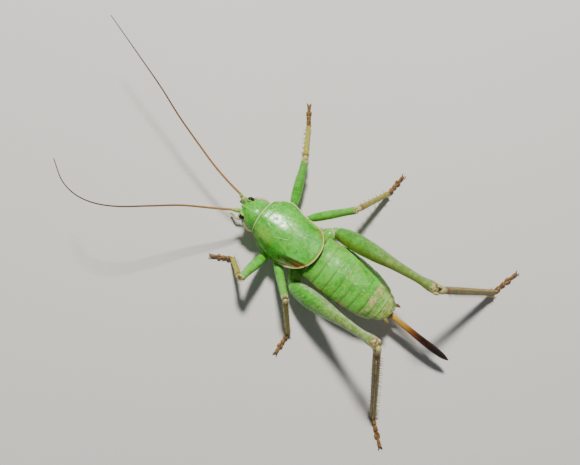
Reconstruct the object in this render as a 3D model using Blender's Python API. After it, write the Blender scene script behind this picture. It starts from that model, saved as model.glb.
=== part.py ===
"""A life-size female bush-cricket (family Tettigoniidae) as a still museum model.

The insect stands on its six feet at z = 0 with its head toward -Y, its left side toward +X
and its back toward +Z. Sizes are in millimetres and are turned into metres at the end.
"""

from math import cos, pi, radians, sin, sqrt

import bmesh
import bpy
from mathutils import Matrix, Vector

MM = 0.001

# Driving dimensions, in millimetres. Y runs from the tip of the forehead (0) toward the tail.
BODY_MIDDLE = (1.040, -5.429)  # where the tip of the forehead lies from the middle of the whole outline
GAP = 0.3  # clearance between neighbouring solids
FLAT_SOLE = 0.0  # height of the undersides of the feet

HEAD_TURN = radians(7)  # the head looks a little to the animal's left
NECK = (0.0, 4.4, 6.0)

# Head: distance from the forehead, half width, top and bottom
HEAD_SECTIONS = (
    (0.35, 1.15, 6.35, 3.10),
    (0.65, 1.72, 6.75, 2.70),
    (1.20, 2.40, 7.15, 2.35),
    (1.90, 2.84, 7.50, 2.20),
    (2.70, 2.88, 7.74, 2.30),
    (3.50, 2.42, 7.70, 2.80),
    (4.20, 1.95, 7.20, 3.40),
    (4.70, 1.20, 6.60, 4.10),
)
CHEEK_SPREAD = 0.10  # how much wider the head grows, as a share, for each millimetre of drop
CHEEK_LEVEL = 4.9
FACE_SLOPE = 0.22  # how far the mouth lies behind the forehead, for each millimetre of drop
FACE_TOP = 5.4
EYE_CENTRE = (1.55, 0.95, 6.10)
EYE_RADII = (0.52, 0.62, 0.78)
EYE_TURN = radians(14)
SCAPE_ROOT = (0.82, 0.25, 6.15)
SCAPE_TIP = (1.25, -0.50, 6.80)
SCAPE_RADII = (0.28, 0.4, 0.42, 0.3)
FOREHEAD_LINE = ((0, 2.2, 6.75), (0, 1.0, 6.68), (0, 0.25, 6.5), (0, 0.0, 6.42))
FOREHEAD_RADII = (0.62, 0.6, 0.42, 0.26)

# Mouthparts: the middle lines of the left ones, and radii across and through
PALP_LINE = ((1.3, 1.15, 1.95), (1.75, 0.5, 1.6), (1.95, -0.2, 1.75), (1.75, -0.9, 1.35), (1.6, -1.5, 0.9))
PALP_RADII = (0.26, 0.27, 0.26, 0.26, 0.3)
JAW_LINE = ((0.85, 1.75, 1.98), (0.78, 1.65, 1.6), (0.62, 1.6, 1.25), (0.48, 1.6, 1.0))
JAW_RADII = ((0.42, 0.5), (0.42, 0.5), (0.33, 0.42), (0.25, 0.3))
LIP_LINE = ((0, 0.72, 2.9), (0, 0.66, 2.3), (0, 0.72, 1.7), (0, 0.86, 1.2))
LIP_RADII = ((0.8, 0.25), (0.95, 0.26), (0.8, 0.26), (0.4, 0.25))

# Pronotum: the saddle-shaped shield over the thorax, from its front rim (0) to its rear rim (1)
SHIELD_HALF_WIDTH = ((0, 3.4), (0.05, 3.85), (0.12, 4.2), (0.3, 4.68), (0.5, 4.82), (0.75, 4.70), (1, 4.42))
SHIELD_LEAN = ((0, -0.35), (0.3, -0.38), (0.6, 0.0), (0.8, 0.18), (1, 0.12))  # its flanks' sway to the left
SHIELD_TOP = ((0, 8.55), (0.15, 8.85), (0.4, 9.15), (0.7, 9.35), (1, 9.62))
SHIELD_LOBE = ((0, 4.75), (0.2, 4.35), (0.5, 4.2), (0.8, 4.45), (1, 5.15))
SHIELD_FRONT = 3.6
SHIELD_CORNER = 4.5  # the front rim reaches this far back at the lower corners
SHIELD_SHOULDER = 10.6  # the rear rim starts to round off here
SHIELD_REAR_BULGE = 4.5
SHIELD_THICKNESS = 0.42
SHIELD_ROUNDNESS = 0.84  # power on the sine and cosine of the arch; 1 would be an ellipse

# Thorax under the shield, and the abdomen: distance from the forehead, half width, top and bottom
THORAX_SECTIONS = (
    (5.05, 1.30, 7.10, 4.40),
    (6.20, 2.40, 7.80, 3.30),
    (8.50, 2.95, 8.15, 2.95),
    (11.0, 3.10, 8.35, 2.95),
    (13.6, 3.05, 8.20, 3.35),
    (14.5, 2.85, 7.95, 3.90),
)
ABDOMEN_HALF_WIDTH = (
    (14.8, 3.3), (16.5, 3.85), (18.5, 4.2), (21, 4.35), (23, 4.25), (25, 3.9), (27, 3.3), (28.4, 2.65),
)
ABDOMEN_TOP = ((14.8, 8.25), (17, 8.75), (20, 8.95), (23, 8.80), (25.5, 8.35), (28.4, 7.35))
ABDOMEN_BELLY = ((14.8, 4.75), (16.5, 3.90), (18.5, 3.00), (21, 2.70), (24, 2.75), (26.5, 3.0), (28.4, 3.3))
TERGITE_EDGES = (14.8, 16.9, 18.85, 20.55, 22.2, 23.9, 25.65, 27.05, 28.3)
TERGITE_LIP = 0.12  # how far the rear edge of each ring stands over the next one
END_SECTIONS = (
    (28.6, 2.35, 7.25, 5.38),
    (29.2, 2.05, 6.95, 5.40),
    (29.9, 1.35, 6.50, 5.42),
    (30.2, 0.70, 6.15, 5.50),
)
CERCUS_ROOT = (1.30, 29.50, 5.95)
CERCUS_TIP = (1.65, 30.80, 5.85)
CERCUS_RADII = (0.34, 0.36, 0.28, 0.25)
PLATE_SECTIONS = (
    (28.4, 1.80, 3.62, 3.05),
    (29.4, 1.50, 3.58, 2.98),
    (30.3, 0.70, 3.52, 2.95),
)
OVIPOSITOR_PATH = ((0.1, 28.9, 4.52), (0.3, 32.5, 4.5), (0.5, 37.5, 4.2), (0.52, 42.7, 3.6))
OVIPOSITOR_DEPTH = ((0, 1.15), (0.12, 1.45), (0.45, 1.35), (0.8, 1.15), (0.94, 0.75), (1, 0.5))
OVIPOSITOR_WIDTH = ((0, 1.15), (0.25, 1.0), (0.5, 1.15), (0.75, 1.28), (0.9, 1.02), (1, 0.4))

# Antennae: the middle line of each feeler, from the scape outward
ANTENNA_PATHS = {
    "left": (
        (2.1, -0.7, 7.2), (3.8, -3.1, 8.6), (6.5, -7.0, 10.6), (9.4, -10.4, 12.1), (12.5, -14.1, 13.6),
        (14.1, -16.9, 14.6), (14.7, -19.6, 15.4), (14.2, -22.2, 16.1), (12.3, -25.1, 16.6),
    ),
    "right": (
        (-0.8, -1.1, 7.2), (-1.15, -3.7, 8.0), (-1.85, -7.0, 8.7), (-2.8, -10.2, 9.2), (-4.6, -15.8, 10.1),
        (-6.6, -21.0, 10.9), (-8.6, -27.0, 11.6), (-10.9, -34.0, 12.0),
    ),
}
ANTENNA_LENGTHS = (("base", 0.0, 0.22), ("middle", 0.22, 0.6), ("tip", 0.6, 1.0))
ANTENNA_THICKNESS = ((0, 0.66), (0.2, 0.56), (1, 0.5))

# Legs: lengths and outlines shared by the two legs of a pair
LEG_LENGTHS = {"fore": (8.0, 8.2, 4.1), "mid": (8.6, 9.6, 4.3), "hind": (20.3, 20.5, 5.8)}
COXA_ROOTS = {"fore": (2.2, 6.0, 3.9), "mid": (2.2, 9.6, 3.6), "hind": (2.3, 13.4, 3.8)}
COXA_THICKNESS = {"fore": 1.7, "mid": 1.7, "hind": 2.6}
FEMUR_DEPTH = {
    "fore": ((0, 1.0), (0.2, 1.7), (0.5, 1.75), (0.8, 1.35), (0.94, 1.35), (1, 1.0)),
    "mid": ((0, 1.0), (0.2, 1.6), (0.5, 1.6), (0.8, 1.35), (0.94, 1.35), (1, 1.0)),
    "hind": (
        (0, 1.4), (0.05, 2.5), (0.14, 3.45), (0.26, 3.65), (0.42, 3.05), (0.56, 2.2), (0.7, 1.7),
        (0.84, 1.45), (0.93, 1.85), (0.98, 1.75), (1, 1.35),
    ),
}
FEMUR_WIDTH_SHARE = {"fore": 0.88, "mid": 0.92, "hind": 0.8}
TIBIA_DEPTH = {
    "fore": ((0, 0.7), (0.1, 1.1), (0.2, 1.15), (0.35, 0.85), (0.9, 0.8), (0.97, 0.85), (1, 0.6)),
    "mid": ((0, 0.75), (0.1, 1.08), (0.3, 1.0), (0.9, 0.88), (0.97, 0.92), (1, 0.65)),
    "hind": ((0, 0.95), (0.04, 1.42), (0.12, 1.22), (0.4, 1.18), (0.9, 1.05), (0.97, 1.2), (1, 0.85)),
}
KNEE_OFFSET = {"fore": 0.3, "mid": 0.28, "hind": 0.4}  # how far the end of the femur rides over the tibia
HIP_CLEARANCE = 0.1  # the femur starts this far beyond the hip
KNEE_SWELL = 0.2  # the hind femur grows this much rounder toward the knee
ANKLE_HEIGHT = 0.85
SOLE_PRESS = 0.12  # the underside of the foot is cut flat this far above its full round
SHIN_SHORT = 0.15  # the tibia ends this far before the ankle
FOOT_OVERLAP = 0.15  # the foot starts this far behind the ankle, where it is cut to fit round the tibia

# Stance of each leg: its hip, its ankle on the floor plan, the turn of its knee outward from
# the upright plane through hip and ankle, and the heading of its foot from +X toward +Y
STANCES = {
    ("fore", "left"): ((4.25, 8.1, 2.85), (8.4, 3.7), radians(29), radians(-61)),
    ("fore", "right"): ((-4.8, 6.8, 2.95), (-18.0, 0.4), radians(8), radians(-145)),
    ("mid", "left"): ((3.95, 9.7, 3.1), (12.9, 18.9), radians(-3), radians(4)),
    ("mid", "right"): ((-4.7, 10.2, 3.2), (-16.8, 18.6), radians(-16), radians(176)),
    ("hind", "left"): ((6.05, 14.55, 2.9), (15.5, 38.6), radians(-21), radians(50)),
    ("hind", "right"): ((-5.5, 15.35, 4.95), (-13.7, 43.15), radians(-17), radians(165)),
}
# Foot: share of its length, half width and height of the four joints and the claws
TARSUS_PROFILE = (
    (0.00, 0.30, 0.80), (0.10, 0.42, 0.86), (0.22, 0.46, 0.70), (0.30, 0.36, 0.58), (0.40, 0.50, 0.66),
    (0.50, 0.36, 0.56), (0.60, 0.56, 0.62), (0.68, 0.32, 0.56), (0.84, 0.36, 0.66), (0.92, 0.42, 0.62),
    (1.00, 0.26, 0.50),
)

GREEN = (0.16, 0.50, 0.08)
PALE_GREEN = (0.36, 0.56, 0.16)
OLIVE = (0.40, 0.36, 0.12)
CREAM = (0.72, 0.58, 0.34)
TAN = (0.42, 0.22, 0.07)
GOLD = (0.62, 0.32, 0.06)
DARK = (0.03, 0.02, 0.015)

SIDES = {"left": 1, "right": -1}


def clear_scene():
    for item in list(bpy.data.objects):
        bpy.data.objects.remove(item)


def material(name, colour, roughness=0.42):
    """The material of that name, made the first time it is asked for."""
    made = bpy.data.materials.get(name)
    if made is None:
        made = bpy.data.materials.new(name)
        made.use_nodes = True
        shader = made.node_tree.nodes["Principled BSDF"]
        shader.inputs["Base Color"].default_value = (*colour, 1)
        shader.inputs["Roughness"].default_value = roughness
        shader.inputs["Metallic"].default_value = 0
    return made


def blend(table, place):
    """Read a table of (place, value) pairs with a smooth curve through its points."""
    if place <= table[0][0]:
        return table[0][1]
    if place >= table[-1][0]:
        return table[-1][1]
    last = len(table) - 1
    after = next(i for i, row in enumerate(table) if row[0] > place)
    before = after - 1
    slopes = []
    for i in (before, after):
        low, high = max(i - 1, 0), min(i + 1, last)
        slopes.append((table[high][1] - table[low][1]) / (table[high][0] - table[low][0]))
    span = table[after][0] - table[before][0]
    t = (place - table[before][0]) / span
    start = (2 * t**3 - 3 * t**2 + 1) * table[before][1] + (t**3 - 2 * t**2 + t) * span * slopes[0]
    end = (3 * t**2 - 2 * t**3) * table[after][1] + (t**3 - t**2) * span * slopes[1]
    return start + end


def path_point(points, share):
    """A point on the smooth line through the given points, at a share of its length."""
    lengths = [0.0]
    for a, b in zip(points, points[1:]):
        lengths.append(lengths[-1] + (Vector(b) - Vector(a)).length)
    place = share * lengths[-1]
    axes = (zip(lengths, (p[axis] for p in points)) for axis in range(3))
    return Vector([blend(tuple(table), place) for table in axes])


def place_object(name, mesh, paint, parent):
    mesh.transform(Matrix.Scale(MM, 4))
    mesh.materials.append(paint)
    mesh.shade_smooth()
    mesh.set_sharp_from_angle(angle=radians(40))
    made = bpy.data.objects.new(name, mesh)
    bpy.context.scene.collection.objects.link(made)
    made.parent = parent
    return made


def skin_rings(name, rings):
    """A closed mesh through rings of equally many points, with a flat cap on each end."""
    build = bmesh.new()
    loops = [[build.verts.new(point) for point in ring] for ring in rings]
    count = len(loops[0])
    for near, far in zip(loops, loops[1:]):
        for i in range(count):
            j = (i + 1) % count
            build.faces.new((near[i], near[j], far[j], far[i]))
    build.faces.new(list(reversed(loops[0])))
    build.faces.new(loops[-1])
    bmesh.ops.recalc_face_normals(build, faces=build.faces)
    mesh = bpy.data.meshes.new(name)
    build.to_mesh(mesh)
    build.free()
    return mesh


def oval_ring(centre, side, up, half_width, half_up, half_down, count):
    """One ring across a limb or the trunk, with its own rise above and drop below the centre."""
    ring = []
    for i in range(count):
        angle = 2 * pi * i / count
        rise = half_up if sin(angle) > 0 else half_down
        ring.append(centre + side * (half_width * cos(angle)) + up * (rise * sin(angle)))
    return ring


def trunk_rings(sections, count, grow=0.0):
    """Upright rings along Y from (distance, half width, top, bottom)."""
    rings = []
    for distance, half_width, top, bottom in sections:
        centre = Vector((0, distance, (top + bottom) / 2))
        half_height = (top - bottom) / 2 + grow
        side, up = Vector((1, 0, 0)), Vector((0, 0, 1))
        rings.append(oval_ring(centre, side, up, half_width + grow, half_height, half_height, count))
    return rings


def tube_rings(points, radii, count, across=Vector((0, 0, 1))):
    """Rings square to a line of points; each radius is a number or a (width, depth) pair."""
    rings = []
    for i, point in enumerate(points):
        along = points[min(i + 1, len(points) - 1)] - points[max(i - 1, 0)]
        side = along.cross(across).normalized()
        up = side.cross(along).normalized()
        width, depth = radii[i] if isinstance(radii[i], tuple) else (radii[i], radii[i])
        rings.append(oval_ring(point, side, up, width, depth, depth, count))
    return rings


def ball(name, centre, radii, turn, grow=0.0):
    """An egg-shaped mesh with its own three radii, turned about Z."""
    build = bmesh.new()
    bmesh.ops.create_uvsphere(build, u_segments=12, v_segments=8, radius=1)
    stretch = Matrix.Diagonal([radius + grow for radius in radii]).to_4x4()
    build.transform(Matrix.Translation(centre) @ Matrix.Rotation(turn, 4, "Z") @ stretch)
    mesh = bpy.data.meshes.new(name)
    build.to_mesh(mesh)
    build.free()
    return mesh


def add_boolean(target, mesh, operation, parent):
    """Join or cut the target with a helper mesh, which stays hidden beside it."""
    mesh.transform(Matrix.Scale(MM, 4))
    helper = bpy.data.objects.new(f"{target.name}.{operation.lower()}", mesh)
    bpy.context.scene.collection.objects.link(helper)
    helper.parent = parent
    helper.hide_render = True
    helper.display_type = "WIRE"
    step = target.modifiers.new(operation.title(), "BOOLEAN")
    step.operation = operation
    step.solver = "EXACT"
    step.object = helper


def empty(name, location, turn, parent=None):
    made = bpy.data.objects.new(name, None)
    bpy.context.scene.collection.objects.link(made)
    made.parent = parent
    made.location = Vector(location) * MM
    made.rotation_euler = (0, 0, turn)
    return made


def from_neck(point):
    """A point of the head, measured from the neck it turns on."""
    return Vector(point) - Vector(NECK)


def mirrored(point, sign):
    return Vector((point[0] * sign, point[1], point[2]))


def shape_face(points):
    """Slope the lower face back toward the mouth and spread the cheeks."""
    for point in points:
        point.x *= 1 + CHEEK_SPREAD * (CHEEK_LEVEL - point.z)
        point.y += FACE_SLOPE * max(0.0, FACE_TOP - point.z)
    return points


def make_head(parent):
    """The head capsule with the narrow forehead tip, the eyes, the mouthparts and the scapes."""
    rings = [shape_face(ring) for ring in trunk_rings(HEAD_SECTIONS, 24)]
    rings = [[from_neck(point) for point in ring] for ring in rings]
    head = place_object("head", skin_rings("head", rings), material("green shell", GREEN), parent)
    forehead = tube_rings([from_neck(point) for point in FOREHEAD_LINE], FOREHEAD_RADII, 10)
    add_boolean(head, skin_rings("forehead", forehead), "UNION", parent)

    for side, sign in SIDES.items():
        make_eye(head, side, sign, parent)
        make_scape(head, side, sign, parent)
        palp_line = [from_neck(mirrored(point, sign)) for point in PALP_LINE]
        palp = skin_rings("palp", tube_rings(palp_line, PALP_RADII, 7))
        place_object(f"palp_{side}", palp, material("palp", CREAM), parent)
        jaw_line = [from_neck(mirrored(point, sign)) for point in JAW_LINE]
        jaw = skin_rings("jaw", tube_rings(jaw_line, JAW_RADII, 8, across=Vector((0, 1, 0))))
        place_object(f"mandible_{side}", jaw, material("mandible", TAN), parent)

    lip_line = [from_neck(point) for point in LIP_LINE]
    lip = skin_rings("labrum", tube_rings(lip_line, LIP_RADII, 12, across=Vector((0, 1, 0))))
    place_object("labrum", lip, material("labrum", PALE_GREEN), parent)


def make_eye(head, side, sign, parent):
    """An eye, in a socket cut from the head."""
    centre = from_neck(mirrored(EYE_CENTRE, sign))
    turn = -EYE_TURN * sign
    add_boolean(head, ball("socket", centre, EYE_RADII, turn, GAP), "DIFFERENCE", parent)
    place_object(f"eye_{side}", ball("eye", centre, EYE_RADII, turn), material("eye", DARK, 0.15), parent)


def make_scape(head, side, sign, parent):
    """The stout first piece of a feeler, in a pit cut from the head."""
    root, tip = from_neck(mirrored(SCAPE_ROOT, sign)), from_neck(mirrored(SCAPE_TIP, sign))
    line = [root.lerp(tip, share) for share in (0, 0.2, 0.6, 1)]
    scape = skin_rings("scape", tube_rings(line, SCAPE_RADII, 8))
    place_object(f"scape_{side}", scape, material("pale green", PALE_GREEN), parent)
    line[0] = line[0] - (tip - root).normalized() * GAP
    pit = skin_rings("pit", tube_rings(line, [radius + GAP for radius in SCAPE_RADII], 8))
    add_boolean(head, pit, "DIFFERENCE", parent)


def make_antennae(parent):
    """Each feeler beyond its scape, in three lengths."""
    for side, path in ANTENNA_PATHS.items():
        total = sum((Vector(b) - Vector(a)).length for a, b in zip(path, path[1:]))
        for part, start, end in ANTENNA_LENGTHS:
            first = start + (GAP / total if start else 0)
            steps = 6 if part == "base" else 9
            shares = [first + (end - first) * i / steps for i in range(steps + 1)]
            line = [path_point(path, share) for share in shares]
            radii = [blend(ANTENNA_THICKNESS, share) / 2 for share in shares]
            mesh = skin_rings("antenna", tube_rings(line, radii, 7))
            place_object(f"antenna_{side}_{part}", mesh, material("antenna", TAN), parent)


def shield_point(across, along):
    """A point of the shield: across runs -1 to 1 from rim to rim, along runs 0 to 1 to the rear."""
    angle = across * pi / 2
    arch = max(cos(angle), 0.0) ** SHIELD_ROUNDNESS
    reach = abs(sin(angle)) ** SHIELD_ROUNDNESS * (1 if across >= 0 else -1)
    front = SHIELD_FRONT + (SHIELD_CORNER - SHIELD_FRONT) * (1 - arch)
    rear = SHIELD_SHOULDER + SHIELD_REAR_BULGE * max(cos(angle), 0.0)
    low, top = blend(SHIELD_LOBE, along), blend(SHIELD_TOP, along)
    return Vector((
        blend(SHIELD_HALF_WIDTH, along) * reach + blend(SHIELD_LEAN, along) * (1 - arch),
        front + (rear - front) * along,
        low + (top - low) * arch,
    ))


def make_shield(parent):
    """The pronotum: an arched plate of even thickness, open in front, behind and below."""
    columns, rows = 20, 11
    build = bmesh.new()
    grid = [
        [build.verts.new(shield_point(2 * i / columns - 1, j / rows)) for i in range(columns + 1)]
        for j in range(rows + 1)
    ]
    for j in range(rows):
        for i in range(columns):
            build.faces.new((grid[j][i], grid[j][i + 1], grid[j + 1][i + 1], grid[j + 1][i]))
    mesh = bpy.data.meshes.new("pronotum")
    build.to_mesh(mesh)
    build.free()
    shield = place_object("pronotum", mesh, material("green shell", GREEN), parent)
    shell = shield.modifiers.new("Shell", "SOLIDIFY")
    shell.thickness = SHIELD_THICKNESS * MM
    shell.offset = -1
    shell.use_rim = True


def make_trunk(parent):
    """The thorax, the rings of the abdomen, its end, the cerci and the plate under the ovipositor."""
    thorax = skin_rings("thorax", trunk_rings(THORAX_SECTIONS, 24))
    place_object("thorax", thorax, material("pale green", PALE_GREEN), parent)

    for number, (start, end) in enumerate(zip(TERGITE_EDGES, TERGITE_EDGES[1:]), 1):
        sections = []
        for share, lip in ((0, -0.5), (0.35, 0), (0.8, 0.6), (1, 1)):
            distance = start + (end - GAP - start) * share
            grow = TERGITE_LIP * lip
            sections.append((
                distance,
                blend(ABDOMEN_HALF_WIDTH, distance) + grow,
                blend(ABDOMEN_TOP, distance) + grow,
                blend(ABDOMEN_BELLY, distance) - grow,
            ))
        ring = skin_rings("tergite", trunk_rings(sections, 24))
        paint = material("abdomen band", CREAM) if number == 7 else material("green shell", GREEN)
        place_object(f"abdomen_ring_{number}", ring, paint, parent)

    end_rings = skin_rings("end", trunk_rings(END_SECTIONS, 20))
    end = place_object("abdomen_end", end_rings, material("pale green", PALE_GREEN), parent)
    plate = skin_rings("plate", trunk_rings(PLATE_SECTIONS, 14))
    place_object("subgenital_plate", plate, material("pale green", PALE_GREEN), parent)

    for side, sign in SIDES.items():
        root, tip = mirrored(CERCUS_ROOT, sign), mirrored(CERCUS_TIP, sign)
        line = [root.lerp(tip, share) for share in (0, 0.3, 0.8, 1)]
        cercus = skin_rings("cercus", tube_rings(line, CERCUS_RADII, 8))
        place_object(f"cercus_{side}", cercus, material("palp", CREAM), parent)
        line[0] = line[0] - (tip - root).normalized() * GAP
        pit = skin_rings("pit", tube_rings(line, [radius + GAP for radius in CERCUS_RADII], 8))
        add_boolean(end, pit, "DIFFERENCE", parent)


def make_ovipositor(parent):
    """The sword-shaped egg-laying blade, thin from side to side."""
    shares = (0, 0.06, 0.15, 0.3, 0.45, 0.6, 0.72, 0.82, 0.9, 0.96, 1)
    line = [path_point(OVIPOSITOR_PATH, share) for share in shares]
    radii = [(blend(OVIPOSITOR_WIDTH, s) / 2, blend(OVIPOSITOR_DEPTH, s) / 2) for s in shares]
    blade = skin_rings("ovipositor", tube_rings(line, radii, 10))
    place_object("ovipositor", blade, material("ovipositor", GOLD), parent)


def knee_point(hip, ankle, femur, tibia, lean):
    """Where the knee lies for these two lengths, leaning outward from the upright plane."""
    along = (ankle - hip).normalized()
    reach = (ankle - hip).length
    foot = (femur**2 - tibia**2 + reach**2) / (2 * reach)
    rise = sqrt(femur**2 - foot**2)
    up = (Vector((0, 0, 1)) - along * along.z).normalized()
    out = along.cross(up)
    if out.x * hip.x < 0:
        out = -out
    return hip + along * foot + up * (rise * cos(lean)) + out * (rise * sin(lean))


def make_leg(pair, side, parent):
    """One leg: coxa with trochanter, femur, tibia and the foot on its flat sole."""
    sign = SIDES[side]
    hip, (ankle_x, ankle_y), lean, heading = STANCES[pair, side]
    femur_length, tibia_length, foot_length = LEG_LENGTHS[pair]
    hip = Vector(hip)
    root = mirrored(COXA_ROOTS[pair], sign)
    ankle = Vector((ankle_x, ankle_y, ANKLE_HEIGHT))
    knee = knee_point(hip, ankle, femur_length, tibia_length, lean)

    along = (knee - hip).normalized()
    shin = (ankle - knee).normalized()
    hinge = along.cross(shin).normalized()
    back = hinge.cross(along).normalized()
    if back.dot(shin) > 0:
        back = -back
    femur_rings, hip_room = [], []
    for share, depth in FEMUR_DEPTH[pair]:
        reach = HIP_CLEARANCE + (femur_length - HIP_CLEARANCE) * share
        centre = hip + along * reach + back * (KNEE_OFFSET[pair] * share**3)
        width = depth * FEMUR_WIDTH_SHARE[pair] / 2
        if pair == "hind":
            width *= 1 + KNEE_SWELL * share**2
        femur_rings.append(oval_ring(centre, hinge, back, width, depth * 0.46, depth * 0.54, 12))
        start = centre - along * (GAP if share == 0 else 0)
        room = depth / 2 + GAP
        hip_room.append(oval_ring(start, hinge, back, width + GAP, room, room, 12))
    femur_paint = material("green leg", GREEN)
    femur = place_object(f"femur_{pair}_{side}", skin_rings("femur", femur_rings), femur_paint, parent)

    thick = COXA_THICKNESS[pair] / 2
    shares = (0, 0.25, 0.62, 0.74, 0.86, 1)
    line = [root.lerp(hip, share) for share in shares]
    radii = [thick * grow for grow in (0.86, 1, 0.78, 0.62, 0.74, 0.58)]
    coxa_mesh = skin_rings("coxa", tube_rings(line, radii, 10))
    coxa = place_object(f"coxa_{pair}_{side}", coxa_mesh, material("pale green", PALE_GREEN), parent)
    chest = skin_rings("chest", trunk_rings(THORAX_SECTIONS, 24, GAP))
    add_boolean(coxa, chest, "DIFFERENCE", parent)
    add_boolean(coxa, skin_rings("room", hip_room), "DIFFERENCE", parent)

    tibia_rings, room_rings = [], []
    for share, depth in TIBIA_DEPTH[pair]:
        centre = knee + shin * (share * (tibia_length - SHIN_SHORT))
        half = depth / 2
        heel = shin.cross(hinge).normalized()
        tibia_rings.append(oval_ring(centre, hinge, heel, half * 0.92, half, half, 10))
        past = GAP * (share == 1) - GAP * (share == 0)
        room = half + GAP
        room_rings.append(oval_ring(centre + shin * past, hinge, heel, room, room, room, 10))
    tibia = skin_rings("tibia", tibia_rings)
    place_object(f"tibia_{pair}_{side}", tibia, material("olive leg", OLIVE), parent)
    add_boolean(femur, skin_rings("room", room_rings), "DIFFERENCE", parent)

    toward = Vector((cos(heading), sin(heading), 0))
    wide = Vector((-sin(heading), cos(heading), 0))
    start = ankle - toward * FOOT_OVERLAP
    foot_rings = []
    for share, half_width, height in TARSUS_PROFILE:
        centre = Vector((*(start + toward * (foot_length + FOOT_OVERLAP) * share).xy, height / 2))
        drop = height / 2 + SOLE_PRESS
        ring = oval_ring(centre, wide, Vector((0, 0, 1)), half_width, height / 2, drop, 8)
        for point in ring:
            point.z = max(point.z, FLAT_SOLE)
        foot_rings.append(ring)
    foot_paint = material("foot", TAN)
    foot = place_object(f"tarsus_{pair}_{side}", skin_rings("tarsus", foot_rings), foot_paint, parent)
    add_boolean(foot, skin_rings("room", room_rings), "DIFFERENCE", parent)


def build_bush_cricket():
    insect = empty("bush_cricket", (*BODY_MIDDLE, 0), 0)
    neck = empty("neck", NECK, HEAD_TURN, insect)
    make_head(neck)
    make_antennae(insect)
    make_shield(insect)
    make_trunk(insect)
    make_ovipositor(insect)
    for pair, side in STANCES:
        make_leg(pair, side, insect)


clear_scene()
build_bush_cricket()
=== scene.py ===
"""Looks of a life-size still model of a female bush-cricket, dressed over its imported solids."""

from math import pi, radians

import bmesh
import bpy
import numpy as np
from mathutils import Matrix, Vector


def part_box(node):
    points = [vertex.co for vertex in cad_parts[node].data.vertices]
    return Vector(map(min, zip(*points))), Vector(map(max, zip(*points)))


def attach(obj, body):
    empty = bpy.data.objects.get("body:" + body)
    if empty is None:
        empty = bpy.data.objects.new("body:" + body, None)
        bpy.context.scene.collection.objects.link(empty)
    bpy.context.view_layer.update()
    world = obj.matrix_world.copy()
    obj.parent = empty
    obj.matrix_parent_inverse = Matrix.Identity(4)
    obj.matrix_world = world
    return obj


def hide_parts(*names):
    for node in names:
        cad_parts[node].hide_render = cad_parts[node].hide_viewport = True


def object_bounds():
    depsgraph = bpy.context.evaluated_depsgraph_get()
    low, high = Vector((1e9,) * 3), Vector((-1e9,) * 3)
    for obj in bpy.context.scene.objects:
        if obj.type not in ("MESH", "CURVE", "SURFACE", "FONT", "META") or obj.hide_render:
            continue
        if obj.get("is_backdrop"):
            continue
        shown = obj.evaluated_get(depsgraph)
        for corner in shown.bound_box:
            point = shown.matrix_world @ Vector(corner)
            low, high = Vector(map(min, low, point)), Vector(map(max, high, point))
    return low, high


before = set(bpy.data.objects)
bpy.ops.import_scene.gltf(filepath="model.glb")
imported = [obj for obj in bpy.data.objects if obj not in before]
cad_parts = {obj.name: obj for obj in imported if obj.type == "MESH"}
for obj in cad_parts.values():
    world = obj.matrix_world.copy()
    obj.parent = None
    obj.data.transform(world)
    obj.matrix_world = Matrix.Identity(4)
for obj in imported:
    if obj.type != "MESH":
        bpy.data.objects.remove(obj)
cad_low, cad_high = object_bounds()

# ------------------------------------------------------------------------------------------------
# Soft skin of the abdomen
# The hard rings of the abdomen ride on one soft skin, which shows as a pale, finely folded band
# low on the flanks and between the small plates of the belly. Its upper part, under the edges of the
# back plates, is painted dark brown as shade. Lengths are in millimetres, and Y runs from the tip
# of the forehead toward the tail.

MM = 0.001
FOREHEAD_TO_THORAX = 5.05
RINGS = 8
RING_LIP = 0.1  # the rear edge of each solid ring stands this far out
SKIN_DEPTH = 0.2  # the soft skin lies this far under the outline of the rings
SKIN_FOLD = 0.36  # from one fold of the skin to the next
FOLD_DEPTH = 0.026
RING_PITCH = 1.68  # from one ring to the next, where the skin puffs out
RING_WIDEST = 0.75  # a ring is read at this share of its length


def corners(node):
    """The lowest and the highest corner of a solid, in millimetres."""
    low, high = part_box(node)
    return np.array(low) / MM, np.array(high) / MM


def curve(table, place):
    """Read a table of (place, value) pairs with a smooth curve through its points."""
    xs, ys = np.array(table, float).T
    slopes = np.gradient(ys, xs)
    slopes[1:-1] = (ys[2:] - ys[:-2]) / (xs[2:] - xs[:-2])
    x = np.clip(place, xs[0], xs[-1])
    i = np.clip(np.searchsorted(xs, x, side="right") - 1, 0, len(xs) - 2)
    span = xs[i + 1] - xs[i]
    t = (x - xs[i]) / span
    start = (2 * t**3 - 3 * t**2 + 1) * ys[i] + (t**3 - 2 * t**2 + t) * span * slopes[i]
    return start + (3 * t**2 - 2 * t**3) * ys[i + 1] + (t**3 - t**2) * span * slopes[i + 1]


def ease(value, low, high):
    """Rise smoothly from 0 to 1 as the value goes from low to high."""
    t = np.clip((value - low) / (high - low), 0, 1)
    return t * t * (3 - 2 * t)


def full_turn(columns):
    """Angles all the way round, in radians, as one row."""
    return np.linspace(0, 2 * pi, columns, endpoint=False)[None, :]


def grid_faces(rows, columns, wrap, shift=0):
    """Quads over a grid of points, with the UV place of each of their corners."""
    r, c = np.meshgrid(np.arange(rows - 1), np.arange(columns if wrap else columns - 1), indexing="ij")
    after = (c + 1) % columns
    here, below = r * columns, (r + 1) * columns
    faces = np.stack([here + c, here + after, below + after, below + c], -1)
    across, along = c / (columns if wrap else columns - 1), r / (rows - 1)
    wide, long = 1 / (columns if wrap else columns - 1), 1 / (rows - 1)
    u = np.stack([across, across + wide, across + wide, across], -1)
    v = np.stack([along, along, along + long, along + long], -1)
    return (faces + shift).reshape(-1, 4).tolist(), np.stack([u, v], -1).reshape(-1, 2)


def new_object(name, data):
    """A new object in the scene, at the origin."""
    made = bpy.data.objects.new(name, data)
    bpy.context.scene.collection.objects.link(made)
    return made


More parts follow.
